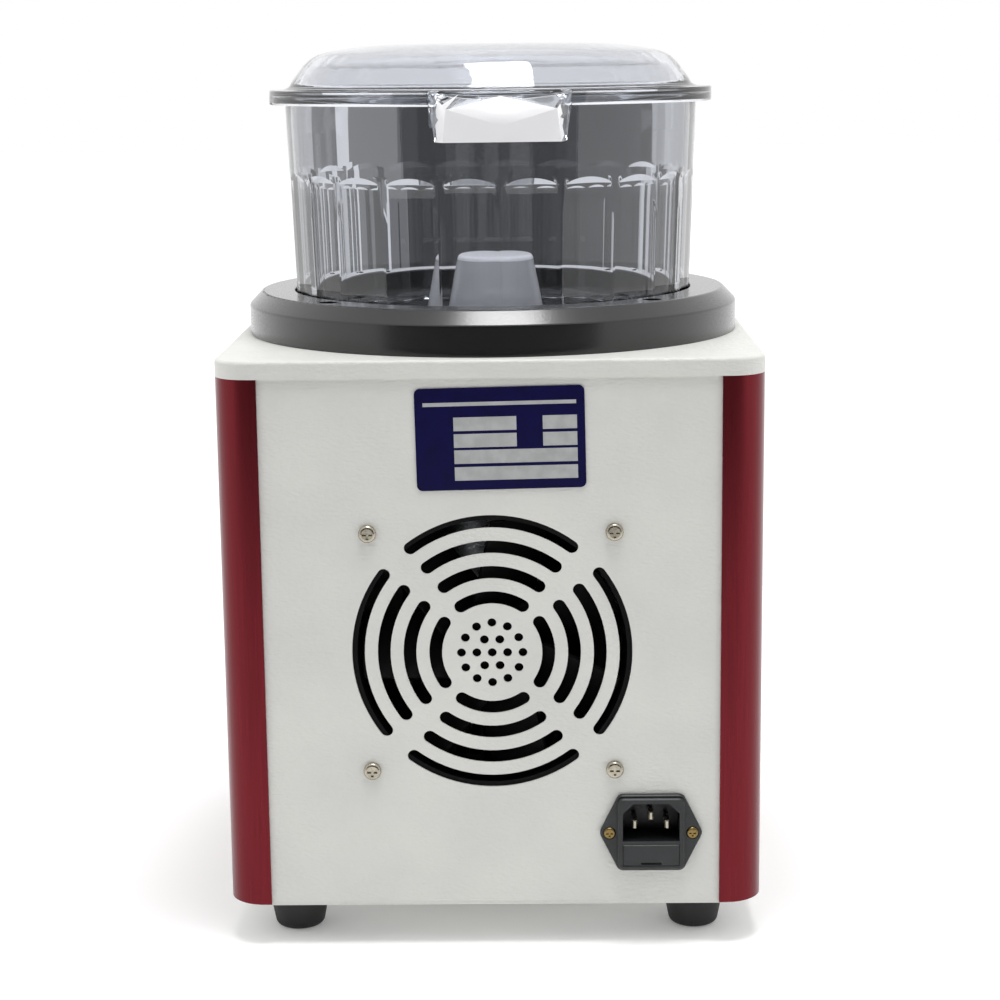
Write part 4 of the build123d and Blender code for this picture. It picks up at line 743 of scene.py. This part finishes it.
class TUMBLER_OT_dial_marks(bpy.types.Operator):
    """Prints the marks round both knobs and a pointer line on each knob"""
    bl_idname = "tumbler.dial_marks"
    bl_label = "Dial marks"

    def execute(self, context):
        d = context.scene.tumbler_dials
        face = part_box("front_overlay")[0].y
        for knob, body, sweep in SWEEPS:
            low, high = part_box(knob)
            x, z = (low.x + high.x) / 2, (low.z + high.z) / 2
            one = plate_mesh(knob + "_mark", [(-d.mark_w / 2, d.mark_w / 2, d.mark_r,
                                               d.mark_r + d.mark_l)], 0)
            mesh = run_tree(
                one, repeat_round_tree("repeat_marks"),
                {"Count": d.marks, "Step": math.radians(sweep) / (d.marks - 1),
                 "Turn": -math.radians(sweep) / 2, "Axis": (0, 1, 0), "Merge": 0.0,
                 "Finish": FINISHES["print"]}, knob + "_marks")
            mesh.transform(Matrix.Translation((x, face + 0.01 * MM, z)))
            new_piece(knob + "_marks", mesh, "print", "root")
            line = plate_mesh(knob + "_pointer", [POINTER],
                              low.y + 0.02 * MM, math.radians(-sweep / 2), (x, z))
            new_piece(knob + "_pointer", line, "print", body)
        return {"FINISHED"}


# ---- light, floor and camera ----
def softbox(name, place, aim, size, power):
    """A soft rectangular light that faces a point."""
    data = bpy.data.lights.new(name, "AREA")
    data.shape, data.size, data.size_y, data.energy = "RECTANGLE", size[0], size[1], power
    lamp = bpy.data.objects.new(name, data)
    lamp.location = place
    lamp.rotation_euler = (Vector(aim) - Vector(place)).to_track_quat("-Z", "Y").to_euler()
    bpy.context.scene.collection.objects.link(lamp)


FLOOR_HALF = 9             # half the floor's side, in metres
CAMERA_PLACE = (-0.01783, 1.0560, 0.3817)
CAMERA_FORWARD = (0.0144, -0.98146, -0.19111)
CAMERA_ROLL = -0.0112      # in radians
SENSOR_WIDTH = 36.0        # in millimetres
BEHIND_Y = -0.22           # the cards behind the bowl, as seen from the rear of the case
BEHIND_TOP = 0.3545        # where the striped card ends and the upper card starts
NEAR_Y = 1.15              # the cards on the camera's side
CARD_TOP = 1.0

# Plain strips as (from, to) across in metres and how bright: first those behind the bowl, then
# those that stand behind it when it is seen from the control side.
STRIPES = [(x0, x1, bright, BEHIND_TOP) for x0, x1, bright in (
    (-0.60, -0.30, 0.2), (-0.30, -0.22, 0.7), (-0.22, -0.15, 0.15), (-0.15, -0.109, 0.55),
    (-0.109, -0.097, 0.35), (-0.097, -0.034, 0.05), (-0.034, 0.047, 0.04), (0.047, 0.059, 0.05),
    (0.059, 0.09, 0.16), (0.09, 0.099, 0.7), (0.099, 0.122, 0.12), (0.122, 0.16, 0.5),
    (0.16, 0.22, 0.15), (0.22, 0.30, 0.7), (0.30, 0.60, 0.2),
)]
FRONT_STRIPES = [(x0, x1, bright, CARD_TOP) for x0, x1, bright in (
    (-1.3, -0.5, 0.15), (-0.5, -0.24, 0.5), (-0.24, -0.09, 0.22), (-0.09, 0.07, 0.42),
    (0.07, 0.22, 0.18), (0.22, 0.5, 0.5), (0.5, 1.3, 0.15),
)]


def card(name, strips, y, low, turn=0.0, **seen_by):
    """An upright card of strips, without a shadow, seen only by the kinds of ray given as true."""
    mesh = bpy.data.meshes.new(name)
    points, faces = [], []
    for k, (x0, x1, _, high) in enumerate(strips):
        points += [(x0, y, low), (x1, y, low), (x1, y, high), (x0, y, high)]
        faces.append(tuple(range(4 * k, 4 * k + 4)))
    mesh.from_pydata(points, [], faces)
    mesh.transform(Matrix.Rotation(turn, 4, "Z"))
    for k, strip in enumerate(strips):
        made = bpy.data.materials.new(f"{name}_{k}")
        made.use_nodes = True
        made.node_tree.nodes.clear()
        glow = add_node(made.node_tree, "ShaderNodeEmission", values={"Strength": strip[2]})
        add_node(made.node_tree, "ShaderNodeOutputMaterial",
                 links={"Surface": glow.outputs["Emission"]})
        mesh.materials.append(made)
        mesh.polygons[k].material_index = k
    obj = bpy.data.objects.new(name, mesh)
    bpy.context.scene.collection.objects.link(obj)
    obj.visible_camera = obj.visible_shadow = False
    for kind in ("diffuse", "glossy", "transmission", "volume_scatter"):
        setattr(obj, "visible_" + kind, seen_by.get(kind, False))


class TUMBLER_OT_stage(bpy.types.Operator):
    """Lays the pale floor and sets the light and the camera"""
    bl_idname = "tumbler.stage"
    bl_label = "Stage"

    def execute(self, context):
        s = context.scene.tumbler_stage
        scene = context.scene
        scene.view_settings.view_transform = "Standard"
        world = bpy.data.worlds.new("white_surround")
        world.use_nodes = True
        world.node_tree.nodes["Background"].inputs["Color"].default_value = (1, 1, 1, 1)
        world.node_tree.nodes["Background"].inputs["Strength"].default_value = s.sky
        scene.world = world
        mesh = bpy.data.meshes.new("studio_floor")
        far = FLOOR_HALF
        mesh.from_pydata([(-far, -far, 0), (far, -far, 0), (far, far, 0), (-far, far, 0)], [],
                         [(0, 1, 2, 3)])
        floor = bpy.data.objects.new("studio_floor", mesh)
        scene.collection.objects.link(floor)
        made, tree, shader, where = new_material("matt_white_paper")
        tree.links.new(mixed(tree, grain(tree, where, 60.0), "#F7F7F7", "#FAFAFA"),
                       shader.inputs["Base Color"])
        shader.inputs["Roughness"].default_value = 0.9
        shader.inputs["Emission Color"].default_value = (1, 1, 1, 1)
        shader.inputs["Emission Strength"].default_value = 0.15
        mesh.materials.append(made)
        softbox("top_softbox", (-0.1, 0.36, 1.8), (0, 0.05, 0.3), (0.6, 0.5), 15)
        card("dark_card", [(-1.7, 1.7, 0.07, 1.5)], 1.4, -0.3, diffuse=True)
        card("near_card", [(-1.3, 1.3, 0.05, CARD_TOP)], NEAR_Y, 0.0, glossy=True)
        card("front_stripes", FRONT_STRIPES, NEAR_Y, 0.0, transmission=True)
        for name, turn in (("left_card", math.pi / 2), ("right_card", -math.pi / 2)):
            card(name, [(-0.8, 0.8, 0.3, CARD_TOP)], 0.9, 0.0, turn, transmission=True)
        card("upper_card", [(-0.6, 0.6, 0.7, 0.43)], BEHIND_Y, BEHIND_TOP, transmission=True)
        card("striped_card", STRIPES, BEHIND_Y, 0.1, transmission=True)
        camera = bpy.data.objects.new("camera", bpy.data.cameras.new("camera"))
        scene.collection.objects.link(camera)
        camera.data.lens, camera.data.sensor_width = s.lens, SENSOR_WIDTH
        camera.data.clip_start, camera.data.clip_end = 0.01, 50
        forward = Vector(CAMERA_FORWARD).normalized()
        right = forward.cross(Vector((0, 0, 1))).normalized()
        up = right.cross(forward)
        cos, sin = math.cos(CAMERA_ROLL), math.sin(CAMERA_ROLL)
        right, up = cos * right + sin * up, cos * up - sin * right
        place = Matrix((right, up, -forward)).transposed().to_4x4()
        place.translation = CAMERA_PLACE
        camera.matrix_world = place
        scene.camera = camera
        return {"FINISHED"}


# ---- panel and registration ----
STEPS = (TUMBLER_OT_finishes, TUMBLER_OT_bowl, TUMBLER_OT_lid, TUMBLER_OT_plate_fields,
         TUMBLER_OT_dial_marks, TUMBLER_OT_stage)
GROUPS = {"tumbler_finishes": TumblerFinishes, "tumbler_bowl": TumblerBowl,
          "tumbler_dials": TumblerDials, "tumbler_stage": TumblerStage}


class TUMBLER_PT_panel(bpy.types.Panel):
    """Lists the tumbler's pieces and their sizes"""
    bl_idname = "TUMBLER_PT_panel"
    bl_label = "Magnetic tumbler"
    bl_space_type = "VIEW_3D"
    bl_region_type = "UI"
    bl_category = "Tumbler"

    def draw(self, context):
        for step in STEPS:
            self.layout.operator(step.bl_idname)
        for name, group in GROUPS.items():
            box = self.layout.box()
            for key in group.__annotations__:
                box.prop(getattr(context.scene, name), key)


def register():
    """Registers the property groups, operators and panel."""
    for made in (*GROUPS.values(), *STEPS, TUMBLER_PT_panel):
        bpy.utils.register_class(made)
    for name, group in GROUPS.items():
        setattr(bpy.types.Scene, name, PointerProperty(type=group))


def unregister():
    """Takes the add-on out again."""
    for name in GROUPS:
        delattr(bpy.types.Scene, name)
    for made in (TUMBLER_PT_panel, *reversed(STEPS), *reversed(tuple(GROUPS.values()))):
        bpy.utils.unregister_class(made)


def call(step):
    """Runs one operator."""
    family, name = step.bl_idname.split(".")
    getattr(getattr(bpy.ops, family), name)()


def main():
    """Makes everything in order."""
    register()
    for step in STEPS:
        call(step)


if __name__ == "__main__":
    main()
